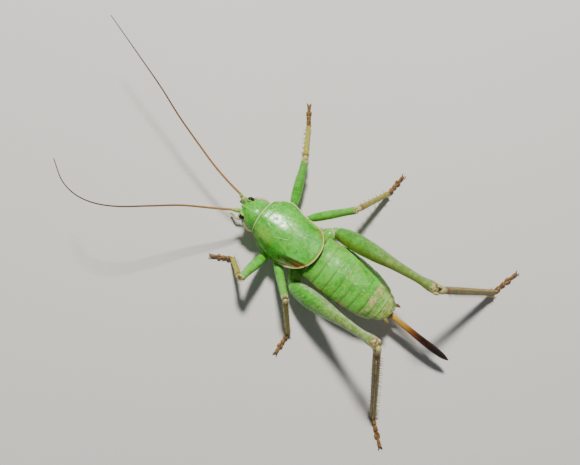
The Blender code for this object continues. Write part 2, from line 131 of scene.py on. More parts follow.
def make_piece(name, points, faces, uv, marks):
    """A smooth closed piece from points in millimetres, its UV map and its painted marks."""
    mesh = bpy.data.meshes.new(name)
    mesh.from_pydata((np.asarray(points) * MM).tolist(), [], faces)
    mesh.uv_layers.new(name="UVMap").data.foreach_set("uv", np.ascontiguousarray(uv, float).ravel())
    for mark, values in marks.items():
        mesh.attributes.new(mark, "FLOAT", "POINT").data.foreach_set("value", np.ravel(values).astype(float))
    shape = bmesh.new()
    shape.from_mesh(mesh)
    bmesh.ops.recalc_face_normals(shape, faces=shape.faces)
    shape.to_mesh(mesh)
    shape.free()
    mesh.shade_smooth()
    return new_object(name, mesh)


def above_floor(mesh):
    """Lift every point of a mesh that lies under the floor up to it."""
    points = np.empty(len(mesh.vertices) * 3)
    mesh.vertices.foreach_get("co", points)
    points[2::3] = np.maximum(points[2::3], 0)
    mesh.vertices.foreach_set("co", points)
    return mesh


def loft(grids):
    """Points, faces, UV places and marks of closed lofts with capped ends, one for each grid given."""
    points, faces, uv, marks = [], [], [], {}
    for grid, grid_marks in grids:
        rows, columns = grid.shape[:2]
        shift = sum(len(block) for block in points)
        quads, places = grid_faces(rows, columns, True, shift)
        first = list(range(shift, shift + columns))
        last = [shift + (rows - 1) * columns + i for i in range(columns)]
        faces += quads + [first[::-1], last]
        ring = np.linspace(0, 1, columns)
        uv += [places, np.stack([ring[::-1], ring * 0], -1), np.stack([ring, ring * 0 + 1], -1)]
        points.append(grid.reshape(-1, 3))
        for mark, values in grid_marks.items():
            marks.setdefault(mark, []).append(np.broadcast_to(values, (rows, columns)).ravel())
    return np.concatenate(points), faces, np.concatenate(uv), {m: np.concatenate(v) for m, v in marks.items()}


def plate(outer, inner, marks):
    """Points, faces, UV places and marks of a thin plate whose two sides meet in a round edge."""
    rows, columns = outer.shape[:2]
    index = np.arange(rows * columns).reshape(rows, columns)
    under = index + rows * columns
    under[0], under[-1], under[:, 0], under[:, -1] = index[0], index[-1], index[:, 0], index[:, -1]
    top, places = grid_faces(rows, columns, False)
    lookup = np.concatenate([index.ravel(), under.ravel()])
    flipped = [[int(lookup[i + rows * columns]) for i in reversed(face)] for face in top]
    inside = np.unique(under[1:-1, 1:-1])
    renumber = {int(old): rows * columns + new for new, old in enumerate(inside)}
    flipped = [[renumber.get(i, i) for i in face] for face in flipped]
    points = np.concatenate([outer.reshape(-1, 3), inner.reshape(-1, 3)[inside - rows * columns]])
    both = {m: np.concatenate([np.ravel(v), np.ravel(v)[inside - rows * columns]]) for m, v in marks.items()}
    uv = np.concatenate([places, places.reshape(-1, 4, 2)[:, ::-1].reshape(-1, 2)])
    return points, top + flipped, uv, both


def surface_normals(points, wrap=False):
    """Outward directions over a grid of points whose columns run round the body."""
    if wrap:
        across = np.roll(points, -1, 1) - np.roll(points, 1, 1)
    else:
        across = np.gradient(points, axis=1)
    normals = np.cross(across, np.gradient(points, axis=0))
    return normals / np.maximum(np.linalg.norm(normals, axis=-1, keepdims=True), 1e-9)


class Finish:
    """One material, put together from patterns, colours and the relief of its surface."""

    def __init__(self, name, roughness, coat=0.0, flesh=0.0, shine=0.22):
        self.material = bpy.data.materials.new(name)
        self.material.use_nodes = True
        self.tree = self.material.node_tree
        self.shader = self.tree.nodes["Principled BSDF"]
        self.shader.inputs["Roughness"].default_value = roughness
        self.shader.inputs["Specular IOR Level"].default_value = shine
        self.shader.inputs["Coat Weight"].default_value = coat
        self.shader.inputs["Coat Roughness"].default_value = 0.18
        self.shader.inputs["Subsurface Weight"].default_value = flesh
        self.shader.inputs["Subsurface Scale"].default_value = 0.4 * MM
        self.shader.inputs["Subsurface Radius"].default_value = (0.8, 1.0, 0.3)
        self.place = self.tree.nodes.new("ShaderNodeTexCoord").outputs["Object"]

    def add(self, kind, inputs, output=0, **settings):
        node = self.tree.nodes.new(kind)
        for name, value in settings.items():
            setattr(node, name, value)
        for socket, value in inputs.items():
            if isinstance(value, bpy.types.NodeSocket):
                self.tree.links.new(value, node.inputs[socket])
            else:
                node.inputs[socket].default_value = (*value, 1) if isinstance(value, tuple) else value
        return node.outputs[output]

    def noise(self, size, detail=2.0, long=1.0):
        """Soft random patches about so many millimetres across, drawn out along the body."""
        place = self.add("ShaderNodeMapping", {"Vector": self.place, "Scale": [1, 1 / long, 1]})
        return self.add("ShaderNodeTexNoise", {"Vector": place, "Scale": 1 / (size * MM), "Detail": detail})

    def cells(self, size):
        """The distance from the nearest of many scattered points, so many millimetres apart."""
        return self.add("ShaderNodeTexVoronoi", {"Vector": self.place, "Scale": 1 / (size * MM)}, "Distance")

    def mark(self, name):
        """A mark painted on the mesh, from 0 to 1."""
        return self.add("ShaderNodeAttribute", {}, "Fac", attribute_name=name)

    def sums(self, operation, first, second=0.5):
        return self.add("ShaderNodeMath", {0: first, 1: second}, operation=operation)

    def span(self, value, low, high, to_low=0.0, to_high=1.0):
        """Bring a value from one range to another, with soft ends."""
        sizes = {"Value": value, "From Min": low, "From Max": high, "To Min": to_low, "To Max": to_high}
        return self.add("ShaderNodeMapRange", sizes, interpolation_type="SMOOTHSTEP")

    def ramp(self, value, stops):
        """A colour for each stretch of a value, from (place, colour) stops."""
        node = self.tree.nodes.new("ShaderNodeValToRGB")
        self.tree.links.new(value, node.inputs[0])
        for _ in range(len(stops) - 2):
            node.color_ramp.elements.new(0.5)
        for element, (place, colour) in zip(node.color_ramp.elements, stops):
            element.position = place
            element.color = (*colour, 1)
        return node.outputs[0]

    def mix(self, share, first, second):
        """The first colour where the share is 0, and the second where it is 1."""
        return self.add("ShaderNodeMix", {0: share, 6: first, 7: second}, 2, data_type="RGBA")

    def stained(self, tone, mark, share, colour):
        """A tone with another colour over it where a mark is painted, up to a share."""
        return self.mix(self.sums("MULTIPLY", self.mark(mark), share), tone, colour)

    def patches(self, size, *reach):
        """Random patches about so many millimetres across, brought to a range as span does."""
        return self.span(self.noise(size, 3), *reach)

    def done(self, colour, relief=None, depth=0.02, rough=None, shine=None):
        """Set the colour, and raise the relief (0 to 1) by a depth in millimetres."""
        for name, value in (("Base Color", colour), ("Roughness", rough), ("Specular IOR Level", shine)):
            if value is not None:
                self.tree.links.new(value, self.shader.inputs[name])
        if relief is not None:
            bump = self.add("ShaderNodeBump", {"Height": relief, "Distance": depth * MM, "Strength": 1.0})
            self.tree.links.new(bump, self.shader.inputs["Normal"])
        return self.material


LEAF_GREEN = (0.062, 0.46, 0.022)
FRESH_GREEN = (0.125, 0.65, 0.068)
DEEP_GREEN = (0.025, 0.18, 0.010)
GOLD_GREEN = (0.20, 0.50, 0.012)
PALE_SKIN = (0.35, 0.43, 0.18)
SKIN_SHADE = (0.19, 0.23, 0.08)

thorax_low, thorax_high = corners("thorax")
BODY = np.array([(thorax_low[0] + thorax_high[0]) / 2, thorax_low[1] - FOREHEAD_TO_THORAX, 0.0])

ring_ends, ring_width, ring_top, ring_belly = [], [], [], []
for number in range(1, RINGS + 1):
    low, high = corners(f"abdomen_ring_{number}")
    ring_ends.append((low[1] - BODY[1], high[1] - BODY[1]))
    widest = low[1] + (high[1] - low[1]) * RING_WIDEST - BODY[1]
    ring_width.append((widest, (high[0] - low[0]) / 2 - RING_LIP))
    ring_top.append((widest, high[2] - RING_LIP))
    ring_belly.append((widest, low[2] + RING_LIP))


def abdomen_surface(distance, angle, grow=0.0):
    """Points of the abdomen at distances behind the forehead and at angles round it, in radians."""
    width, top, belly = (curve(table, distance) for table in (ring_width, ring_top, ring_belly))
    middle, half = (top + belly) / 2, (top - belly) / 2
    across, up = (width + grow) * np.cos(angle), middle + (half + grow) * np.sin(angle)
    return np.stack(np.broadcast_arrays(across, distance + 0 * angle, up), -1) + BODY


skin_start, skin_end = ring_ends[0][0] + 0.2, ring_ends[-1][1] - 0.1
distance = np.linspace(skin_start, skin_end, 190)[:, None]
angle = full_turn(96)
waver = 2 * pi * distance / SKIN_FOLD + 1.2 * np.sin(3 * angle) + 1.5 * np.sin(5 * angle + 1.1 * distance)
folds = np.sin(waver) * FOLD_DEPTH
puffs = 0.10 * np.sin(pi * (distance - skin_start) / RING_PITCH) ** 2
ends = 0.9 * (1 - ease(distance, skin_start, skin_start + 0.8))
ends = ends + 0.7 * ease(distance, skin_end - 0.7, skin_end)
skin_grid = abdomen_surface(distance, angle, folds + puffs - SKIN_DEPTH - ends)
skin_marks = {"fold": folds / (2 * FOLD_DEPTH) + 0.5, "upper": ease(np.sin(angle), -0.35, 0.05)}
abdomen_skin = make_piece("abdomen_skin", *loft([(skin_grid, skin_marks)]))

skin_finish = Finish("abdomen skin", 0.5, flesh=0.3)
fold = skin_finish.mark("fold")
mottle = skin_finish.noise(0.5, 3)
skin_colour = skin_finish.mix(skin_finish.span(fold, 0.0, 1.0, 0.2, 1.0), SKIN_SHADE, PALE_SKIN)
skin_colour = skin_finish.mix(skin_finish.span(mottle, 0.40, 0.7), skin_colour, (0.42, 0.42, 0.20))
# Painted shade: the upper half of the skin, under and just below the edges of the back plates, is painted
# dark brown.
skin_colour = skin_finish.stained(skin_colour, "upper", 0.85, (0.17, 0.13, 0.055))
grain = skin_finish.noise(0.08, 2)
abdomen_skin.data.materials.append(skin_finish.done(skin_colour, grain, 0.012))
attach(abdomen_skin, "root")

# ------------------------------------------------------------------------------------------------
# Back plates of the abdomen
# Eight hard green plates lap over each other like roof tiles, each free at its rear edge. The
# cuticle is smooth and a little waxy, with a fine raised line along the middle of the back, painted
# with pale dashes of highlight, and a dark hairline where one plate ends, painted darker on the left
# flank as shade. The seventh is buff, the eighth pale.

PLATE_LAP = 0.42  # the front of each plate lies this far under the one before
PLATE_THICKNESS = 0.11
PLATE_EDGE = {1: 2, 2: 7, 3: 10, 4: 12, 5: 12, 6: 9, 7: 0, 8: -12}  # lower edge, in degrees
LEFT_RISE = 9  # the plates end so many degrees higher on the left, as the abdomen rolls a little
PLATE_OVERHANG = 0.28  # the rear of each plate reaches this far past its ring
PLATE_HALF_SPAN = 6.5  # over the arch, from the middle of the back to the lower edge
KEEL_WIDTH = 0.26
TERGITE_HEM = 0.16
BUFF = (0.58, 0.56, 0.23)
STRAW = (0.55, 0.50, 0.16)


def crowded(count):
    """Shares from 0 to 1 that lie closer together toward both ends."""
    return (1 - np.cos(np.linspace(0, pi, count))) / 2


def ridge(value, place, width):
    """1 where the value is at a place, falling away smoothly within a width on either side."""
    return np.exp(-(((value - place) / width) ** 2))


def tergite_grid(number):
    """The outer points of one back plate and the marks painted on it."""
    start, end = ring_ends[number - 1]
    front, rear = start - PLATE_LAP * (number > 1), end + PLATE_OVERHANG
    rows, columns = 44, 150
    share = crowded(rows)
    along = (front + (rear - front) * (0.6 * share + 0.4 * np.linspace(0, 1, rows)))[:, None]
    last = number == RINGS
    round_corner = (0.10 + 0.75 * last) * ease(along, rear - 0.5 - 0.7 * last, rear) ** 2
    reach = np.linspace(-1, 1, columns)[None, :]
    low = np.radians(PLATE_EDGE[number] + LEFT_RISE * (reach > 0))
    angle = pi / 2 - reach * (pi / 2 - low - round_corner)
    side = np.abs(reach)
    lift = 0.10 * ease(along, end - 0.9, end + 0.1) * (1 - ease(side, 0.45, 0.75)) * (not last)
    tuck = lift - 0.16 * (1 - ease(along, front, start + 0.35)) - 0.10 * last * ease(along, end - 0.5, rear)
    keel = ridge(reach * PLATE_HALF_SPAN, 0, KEEL_WIDTH) * ease(-along, -end + 0.25, -start - 0.25)
    dents = 0.03 * ridge(side, 0.42, 0.06) * ridge(along, (start + end) / 2, 0.3)
    hem = ridge(along, rear, TERGITE_HEM) * (1 - 0.7 * ease(side, 0.5, 0.8))
    line = ridge(rear - along, 0.26, 0.055)
    grow = tuck + 0.045 * keel + 0.028 * hem - 0.03 * line - dents
    outer = abdomen_surface(along, angle, grow)
    marks = {
        "keel": ridge(reach * PLATE_HALF_SPAN, 0, 0.14) + 0 * along,
        "hem": hem,
        # Painted shade: the dark hairline at the end of each plate is painted about three times as strong on
        # the left flank as on the right.
        "line": ridge(rear - along, 0.14, 0.06) * (0.1 if last else 1)
        * (0.3 + 0.7 * ease(reach, -0.15, 0.2)),
        "side": side + 0 * along,
        "ahead": ease(-along, -end, -start) + 0 * reach,
    }
    return outer, marks


def thin_plate(outer, marks, thickness, rim=0.18):
    """A thin plate under the given outer points, thinned to nothing round its edge."""
    steps_down = np.linalg.norm(np.diff(outer, axis=0), axis=-1).mean()
    steps_over = np.linalg.norm(np.diff(outer, axis=1), axis=-1).mean()
    rows, columns = outer.shape[:2]
    r, c = np.meshgrid(np.arange(rows), np.arange(columns), indexing="ij")
    edge = np.minimum(np.minimum(r, rows - 1 - r) * steps_down, np.minimum(c, columns - 1 - c) * steps_over)
    depth = thickness * np.sqrt(1 - (1 - np.clip(edge / rim, 0, 1)) ** 2)
    normals = surface_normals(outer)
    centre = outer.mean((0, 1))
    if np.sum(normals * (outer - centre)) < 0:
        normals = -normals
    return plate(outer, outer - normals * depth[..., None], marks)


def green_colour(finish):
    """Living green cuticle: leaf green in soft patches, with paler freckles."""
    broad = finish.span(finish.noise(2.6, 2), 0.38, 0.66)
    colour = finish.mix(broad, LEAF_GREEN, FRESH_GREEN)
    colour = finish.mix(finish.patches(1.1, 0.54, 0.70, 0.0, 0.55), colour, GOLD_GREEN)
    freckles = finish.span(finish.noise(0.24, 3, 1.8), 0.50, 0.68, 0.0, 0.7)
    colour = finish.mix(freckles, colour, (0.28, 0.64, 0.12))
    shade = finish.patches(0.6, 0.54, 0.72, 0.0, 0.55)
    return finish.mix(shade, colour, DEEP_GREEN)


def tergite_finish(name, ground, stain, bare):
    """The cuticle of a back plate, whose paler ground shows through the green in patches."""
    finish = Finish(name, 0.42, coat=0.04, flesh=0.15)
    soil = finish.mix(finish.span(finish.noise(0.34, 3, 1.6), 0.44, 0.62), ground, stain)
    patches = finish.patches(0.8, 0.42, 0.58, *bare)
    colour = finish.mix(patches, green_colour(finish), soil)
    side = finish.mark("side")
    flank = finish.sums("MULTIPLY", finish.span(side, 0.55, 0.95), finish.patches(0.9, 0.4, 0.62))
    colour = finish.mix(finish.sums("MULTIPLY", flank, 0.55), colour, STRAW)
    # Painted highlight: pale dashes along the raised keel, on the front part of each plate.
    keel = finish.sums("MULTIPLY", finish.mark("keel"), finish.span(finish.noise(0.9, 2), 0.42, 0.6))
    keel = finish.sums("MULTIPLY", keel, finish.mark("ahead"))
    colour = finish.mix(finish.sums("MULTIPLY", keel, 0.7), colour, (0.58, 0.80, 0.42))
    thread = finish.span(finish.mark("keel"), 0.88, 0.99, 0.0, 0.75)
    colour = finish.mix(thread, colour, DEEP_GREEN)
    colour = finish.stained(colour, "hem", 0.35, (0.42, 0.62, 0.14))
    # The dark end hairline: the plate's own line, painted darker on the left flank as shade.
    colour = finish.stained(colour, "line", 0.72, (0.03, 0.11, 0.012))
    relief = finish.sums("ADD", finish.noise(0.14, 3), finish.sums("MULTIPLY", finish.cells(0.3), 0.7))
    rough = finish.patches(0.5, 0.3, 0.7, 0.32, 0.5)
    return finish.done(colour, relief, 0.016, rough)


plate_paints = {
    "green": tergite_finish("green back plate", STRAW, LEAF_GREEN, (0.0, 0.18)),
    "buff": tergite_finish("buff back plate", BUFF, (0.34, 0.34, 0.12), (0.25, 0.95)),
    "pale": tergite_finish("pale back plate", (0.50, 0.58, 0.24), (0.34, 0.42, 0.10), (0.25, 0.85)),
}
for number in range(1, RINGS + 1):
    outer, marks = tergite_grid(number)
    back_plate = make_piece(f"back_plate_{number}", *thin_plate(outer, marks, PLATE_THICKNESS))
    back_plate.data.materials.append(plate_paints[{7: "buff", 8: "pale"}.get(number, "green")])
    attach(back_plate, "root")
    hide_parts(f"abdomen_ring_{number}")

# ------------------------------------------------------------------------------------------------
# Belly plates
# Seven small plates in a row protect the underside, with soft skin between and beside them, and
# a broader, notched plate shields the root of the egg-laying blade from below.

BELLY_HALF_ANGLE = radians(21)
SUBGENITAL_SECTIONS = (
    (26.8, 1.7, 4.20, 3.02), (27.6, 2.05, 4.15, 3.0), (28.3, 2.0, 4.1, 2.97), (28.9, 1.85, 4.05, 2.95),
    (29.7, 1.45, 3.9, 2.95), (30.3, 0.8, 3.6, 2.98),
)

belly_finish = Finish("belly plate", 0.4, coat=0.15, flesh=0.2)
belly_tone = belly_finish.mix(belly_finish.noise(0.8, 3), (0.34, 0.48, 0.14), (0.48, 0.52, 0.24))
belly_paint = belly_finish.done(belly_tone, belly_finish.noise(0.12, 3), 0.012)

for number in range(1, RINGS):
    start, end = ring_ends[number - 1]
    along = np.linspace(start + 0.05, end - 0.05, 20)[:, None]
    angle = np.linspace(-pi / 2 - BELLY_HALF_ANGLE, -pi / 2 + BELLY_HALF_ANGLE, 36)[None, :]
    belly_plate = make_piece(
        f"belly_plate_{number}", *thin_plate(abdomen_surface(along, angle, -0.02), {}, 0.12)
    )
    belly_plate.data.materials.append(belly_paint)
    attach(belly_plate, "root")


def trunk_grid(sections, rows, columns, grow=0.0):
    """Upright rings along the body through rows of (distance, half width, top, bottom)."""
    table = np.array(sections)
    share = crowded(rows)
    along = (table[0, 0] + (table[-1, 0] - table[0, 0]) * share)[:, None]
    width, top, bottom = (curve(table[:, [0, i]], along) for i in (1, 2, 3))
    angle = full_turn(columns)
    up = (top + bottom) / 2 + ((top - bottom) / 2 + grow) * np.sin(angle)
    rings = np.broadcast_arrays((width + grow) * np.cos(angle), along + 0 * angle, up)
    return np.stack(rings, -1), along, angle


def rounded(along, sections, blunt):
    """0 at both ends of a run of sections and 1 over the rest, along a quarter circle."""
    start, end = sections[0][0], sections[-1][0]
    near = np.clip(np.minimum(along - start, end - along) / blunt, 0, 1)
    return np.sqrt(1 - (1 - near) ** 2)


subgenital_grid, along, angle = trunk_grid(SUBGENITAL_SECTIONS, 40, 64)
thin = rounded(along, SUBGENITAL_SECTIONS, 0.25)[..., None]
subgenital_grid[..., 2:] = 3.33 + (subgenital_grid[..., 2:] - 3.33) * (0.25 + 0.75 * thin)
notch = 0.55 * ease(along, 29.5, 30.3) * ridge(subgenital_grid[..., 0], 0, 0.35)
subgenital_grid[..., 1] -= notch
subgenital = make_piece("notched_plate", *loft([(subgenital_grid + BODY, {})]))
subgenital.data.materials.append(belly_paint)
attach(subgenital, "root")
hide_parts("subgenital_plate")

# ------------------------------------------------------------------------------------------------
# End of the abdomen
# Two short rings and a small flap close the abdomen above the blade, pale green with a straw
# hem. A pair of short feelers, the cerci, stand on either side of the flap.

END_SECTIONS = (
    (27.75, 2.64, 7.36, 4.6), (28.6, 2.46, 7.26, 5.1), (29.2, 2.12, 6.93, 5.35), (29.9, 1.38, 6.48, 5.42),
    (30.25, 0.62, 6.12, 5.55),
)
SIDES = (("left", 1), ("right", -1))
CERCUS_LINE = ((1.15, 29.2, 5.97), (1.35, 29.7, 5.98), (1.55, 30.3, 5.95), (1.60, 30.85, 5.78))
CREASE_PLACE = 29.25  # between the two short rings
HEM_PLACES = (29.12, 30.15)
CERCUS_THICKNESS = ((0, 0.5), (0.25, 0.62), (0.6, 0.5), (0.85, 0.26), (1, 0.07))

end_grid, along, angle = trunk_grid(END_SECTIONS, 90, 96)
creases = ridge(along, CREASE_PLACE, 0.06)
end_width = ridge(end_grid[..., 0], 0, 0.5) * ease(along, 29.3, 29.9) * (np.sin(angle) > 0)
closing = 0.35 + 0.65 * rounded(along, END_SECTIONS, 0.3)
centre = np.array([0, 0, 1.0]) * end_grid[..., 2:].mean(1, keepdims=True)
drawn = (end_grid - centre)[..., [0, 2]] * (closing - 0.03 * creases)[..., None]
end_grid[..., [0, 2]] = centre[..., [0, 2]] + drawn
end_grid[..., 2] += 0.07 * end_width - 0.07 * ridge(end_grid[..., 0], 0, 0.16) * ease(along, 29.3, 29.7)
hems = sum(ridge(along, place, 0.15) for place in HEM_PLACES)
abdomen_end = make_piece("abdomen_end_rings", *loft([(end_grid + BODY, {"hem": hems, "line": creases})]))

end_finish = Finish("last rings", 0.38, coat=0.2, flesh=0.15)
end_tone = end_finish.mix(end_finish.patches(0.7, 0.4, 0.6), (0.17, 0.44, 0.05), (0.50, 0.56, 0.22))
end_tone = end_finish.stained(end_tone, "hem", 0.7, (0.66, 0.60, 0.16))
end_tone = end_finish.stained(end_tone, "line", 0.45, (0.10, 0.16, 0.02))
abdomen_end.data.materials.append(end_finish.done(end_tone, end_finish.noise(0.12, 3), 0.012))
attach(abdomen_end, "root")
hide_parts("abdomen_end")


def hose(path, thickness, rows, columns, up=(0, 0, 1), flat=1.0, ripple=None):
    """Rings square to a smooth line through points, as thick as a table of (share, diameter) says."""
    path = np.array(path, float)
    steps = np.concatenate([[0], np.cumsum(np.linalg.norm(np.diff(path, axis=0), axis=1))])
    share = np.linspace(0, 1, rows)
    line = np.stack([curve(np.stack([steps / steps[-1], path[:, i]], 1), share) for i in range(3)], -1)
    along = np.gradient(line, axis=0)
    along /= np.linalg.norm(along, axis=1, keepdims=True)
    side = np.cross(along, np.array(up, float))
    side /= np.linalg.norm(side, axis=1, keepdims=True)
    rise = np.cross(side, along)
    angle = full_turn(columns)[..., None]
    radius = (curve(thickness, share) / 2 * (1 if ripple is None else ripple))[:, None, None]
    ring = side[:, None] * np.cos(angle) + rise[:, None] * np.sin(angle) * flat
    return line[:, None] + radius * ring, share


def mirrored(points, sign):
    return [(x * sign, y, z) for x, y, z in points]


cercus_finish = Finish("cercus", 0.45, flesh=0.2)
cercus_tone = cercus_finish.mix(cercus_finish.mark("along"), (0.42, 0.48, 0.16), (0.34, 0.17, 0.05))
cercus_paint = cercus_finish.done(cercus_tone, cercus_finish.noise(0.06, 2), 0.012)
for side, sign in SIDES:
    cercus_grid, share = hose(mirrored(CERCUS_LINE, sign), CERCUS_THICKNESS, 36, 24)
    cercus = make_piece(f"tail_feeler_{side}", *loft([(cercus_grid + BODY, {"along": share[:, None]})]))
    cercus.data.materials.append(cercus_paint)
    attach(cercus, "root")
    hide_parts(f"cercus_{side}")

# ------------------------------------------------------------------------------------------------
# Egg-laying blade
# The ovipositor is a straight sword of hard cuticle in long valves that slide on each other. It
# is golden at the root with dark seams, then chestnut, and black and finely toothed at the tip.

BLADE_PATH = ((0.1, 28.7, 4.52), (0.3, 32.5, 4.5), (0.5, 37.5, 4.2), (0.52, 42.7, 3.6))
BLADE_DEPTH = (
    (0, 1.1), (0.1, 1.5), (0.2, 1.42), (0.45, 1.35), (0.8, 1.22), (0.92, 0.85), (0.98, 0.4), (1, 0.12)
)
BLADE_WIDTH = (
    (0, 1.05), (0.07, 1.15), (0.2, 0.98), (0.5, 1.12), (0.75, 1.26), (0.9, 1.0), (0.96, 0.6), (1, 0.12)
)
TOOTH_PITCH = 0.2
TOOTH_RUN = 13.4  # the length that the teeth are counted over
BLADE_ROWS, BLADE_COLUMNS = 420, 56

unit_blade, share = hose(BLADE_PATH, ((0, 2), (1, 2)), BLADE_ROWS, BLADE_COLUMNS)
blade_line = unit_blade.mean(1, keepdims=True)
angle = full_turn(BLADE_COLUMNS)
seams = sum(ridge(np.angle(np.exp(1j * (angle - place))), 0, 0.13) for place in (0, pi / 2, pi, 1.5 * pi))
steps = sum(ridge(np.angle(np.exp(1j * (angle - place))), 0, 0.10) for place in (0.85, pi - 0.85))
toothed = ease(share, 0.80, 0.88)[:, None] * (np.abs(np.sin(angle)) > 0.8)
teeth = toothed * 0.035 * (0.5 + 0.5 * np.sin(2 * pi * share * TOOTH_RUN / TOOTH_PITCH))[:, None]
half_width = curve(BLADE_WIDTH, share)[:, None] / 2
half_depth = curve(BLADE_DEPTH, share)[:, None] / 2
shrink = 1 - (0.10 * seams + 0.05 * steps) * ease(share, 0.02, 0.1)[:, None]
side_way = (unit_blade - blade_line)[:, :1]
rise_way = np.cross(side_way, np.gradient(blade_line[:, 0], axis=0)[:, None])
rise_way /= np.linalg.norm(rise_way, axis=-1, keepdims=True)
side_way = side_way / np.linalg.norm(side_way, axis=-1, keepdims=True)
blade_grid = blade_line + side_way * (half_width * np.cos(angle) * shrink)[..., None]
blade_grid += rise_way * ((half_depth * shrink - teeth) * np.sin(angle))[..., None]
blade_marks = {"along": share[:, None], "seam": np.clip(seams + steps, 0, 1)}
blade = make_piece("egg_laying_blade", *loft([(blade_grid + BODY, blade_marks)]))

blade_finish = Finish("blade", 0.28, coat=0.5)
drift = blade_finish.patches(0.6, 0.2, 0.8, -0.03, 0.03)
blade_tone = blade_finish.ramp(blade_finish.sums("ADD", blade_finish.mark("along"), drift), (
    (0.0, (0.12, 0.045, 0.012)), (0.125, (0.20, 0.09, 0.018)), (0.155, (0.70, 0.47, 0.06)),
    (0.33, (0.60, 0.31, 0.03)), (0.46, (0.30, 0.09, 0.016)), (0.60, (0.09, 0.025, 0.01)),
    (0.72, (0.012, 0.009, 0.009)),
))
seam = blade_finish.span(blade_finish.mark("seam"), 0.3, 0.95, 0.0, 0.85)
blade_tone = blade_finish.mix(seam, blade_tone, (0.05, 0.018, 0.006))
specks = blade_finish.sums("MULTIPLY", blade_finish.span(blade_finish.noise(0.07, 2), 0.62, 0.72, 0.0, 0.35),
                           blade_finish.span(blade_finish.mark("along"), 0.45, 0.55))
blade_tone = blade_finish.mix(specks, blade_tone, (0.30, 0.16, 0.07))
blade.data.materials.append(blade_finish.done(blade_tone, blade_finish.noise(0.09, 3), 0.014))
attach(blade, "root")
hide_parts("ovipositor")

# Two brown bosses hinge the blade to the abdomen, one on each side of its root.
BOSS_CENTRE = (0.74, 29.3, 4.6)
BOSS_RADII = (0.58, 1.25, 0.88)


def pebble_grid(centre, radii, rows=40, columns=40):
    """Rings over an egg-shaped pebble, from its front pole to its rear one."""
    polar = np.linspace(0.04, pi - 0.04, rows)[:, None]
    angle = full_turn(columns)
    x, z = np.sin(polar) * np.cos(angle), np.sin(polar) * np.sin(angle)
    rings = np.stack([x * radii[0], -np.cos(polar) * radii[1] + 0 * angle, z * radii[2]], -1)
    return np.array(centre) + rings


boss_grids = [(pebble_grid(mirrored([BOSS_CENTRE], sign)[0], BOSS_RADII) + BODY, {}) for sign in (1, -1)]
bosses = make_piece("blade_bosses", *loft(boss_grids))
boss_finish = Finish("boss", 0.35, coat=0.3)
boss_tone = boss_finish.mix(boss_finish.noise(0.5, 3), (0.15, 0.05, 0.012), (0.30, 0.13, 0.03))
bosses.data.materials.append(boss_finish.done(boss_tone, boss_finish.noise(0.1, 3), 0.015))
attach(bosses, "root")

# ------------------------------------------------------------------------------------------------
# Shield over the thorax
# The pronotum is one thick saddle of cuticle that covers the wing stumps. It has a raised cream
# rim all round, painted wider on the lit right side, a U-shaped furrow across the middle, painted
# pale as a highlight, pitted skin behind it with a dark line down the middle, and a fold along each
# rear shoulder, painted dark as shade and stained brown toward the rear. Its flanks and the groove
# inside the rim are painted darker as shade, and a sunlit patch is painted on the front of the left
# flank.

SHIELD_HALF_WIDTH = ((0, 3.4), (0.05, 3.85), (0.12, 4.2), (0.3, 4.68), (0.5, 4.82), (0.75, 4.70), (1, 4.42))
SHIELD_LEAN = ((0, -0.35), (0.3, -0.38), (0.6, 0.0), (0.8, 0.18), (1, 0.12))  # its flanks' sway to the left
SHIELD_TOP = ((0, 8.52), (0.15, 8.84), (0.4, 9.27), (0.7, 9.56), (1, 9.70))
SHIELD_LOBE = ((0, 4.75), (0.2, 4.35), (0.5, 4.2), (0.8, 4.45), (1, 5.15))
SHIELD_FRONT, SHIELD_CORNER = 3.6, 4.5
SHIELD_SHOULDER, SHIELD_REAR_BULGE = 10.6, 4.5
SHIELD_ROUNDNESS = 0.84
SHIELD_THICKNESS = 0.30
SHIELD_INSET = 0.11  # the smooth form lies this far under the solid's, to leave room for the raised rim
SHIELD_FLARE = 0.24  # how far the lower rims stand out from the flanks above them
FURROW = (
    (1.55, 7.6), (1.30, 8.2), (1.05, 9.0), (0.72, 9.60), (0.2, 9.72), (-0.45, 9.68), (-0.95, 9.25),
    (-1.25, 8.5), (-1.4, 7.9)
)
WRINKLE = ((0.55, 5.55), (0.80, 6.42), (1.55, 6.25))
FRONT_FURROW = ((3.0, 5.35), (1.8, 5.0), (0.6, 4.85), (-0.6, 4.85), (-1.8, 5.0), (-3.0, 5.35))
PITS = ((1.15, 5.85, 0.34), (-1.0, 6.15, 0.26), (1.03, 12.15, 0.14), (-2.1, 7.5, 0.3), (2.15, 7.4, 0.3))


def line_distance(points, line):
    """How far points on the ground plan lie from a line of straight runs."""
    best = np.full(points.shape[:-1], np.inf)
    for a, b in zip(np.array(line)[:-1], np.array(line)[1:]):
        share = np.clip(((points - a) @ (b - a)) / ((b - a) @ (b - a)), 0, 1)
        best = np.minimum(best, np.linalg.norm(points - a - share[..., None] * (b - a), axis=-1))
    return best


shield_rows, shield_columns = 170, 210
along = np.linspace(0, 1, shield_rows)[:, None]
over = np.linspace(-1, 1, shield_columns)[None, :]
arch = np.maximum(np.cos(over * pi / 2), 0) ** SHIELD_ROUNDNESS
reach = np.abs(np.sin(over * pi / 2)) ** SHIELD_ROUNDNESS * np.sign(over)
front = SHIELD_FRONT + (SHIELD_CORNER - SHIELD_FRONT) * (1 - arch)
rear = SHIELD_SHOULDER + SHIELD_REAR_BULGE * np.maximum(np.cos(over * pi / 2), 0)
low, top = curve(SHIELD_LOBE, along), curve(SHIELD_TOP, along)
shield_grid = np.stack([
    curve(SHIELD_HALF_WIDTH, along) * reach + curve(SHIELD_LEAN, along) * (1 - arch),
    front + (rear - front) * along,
    low + (top - low) * arch,
], -1)

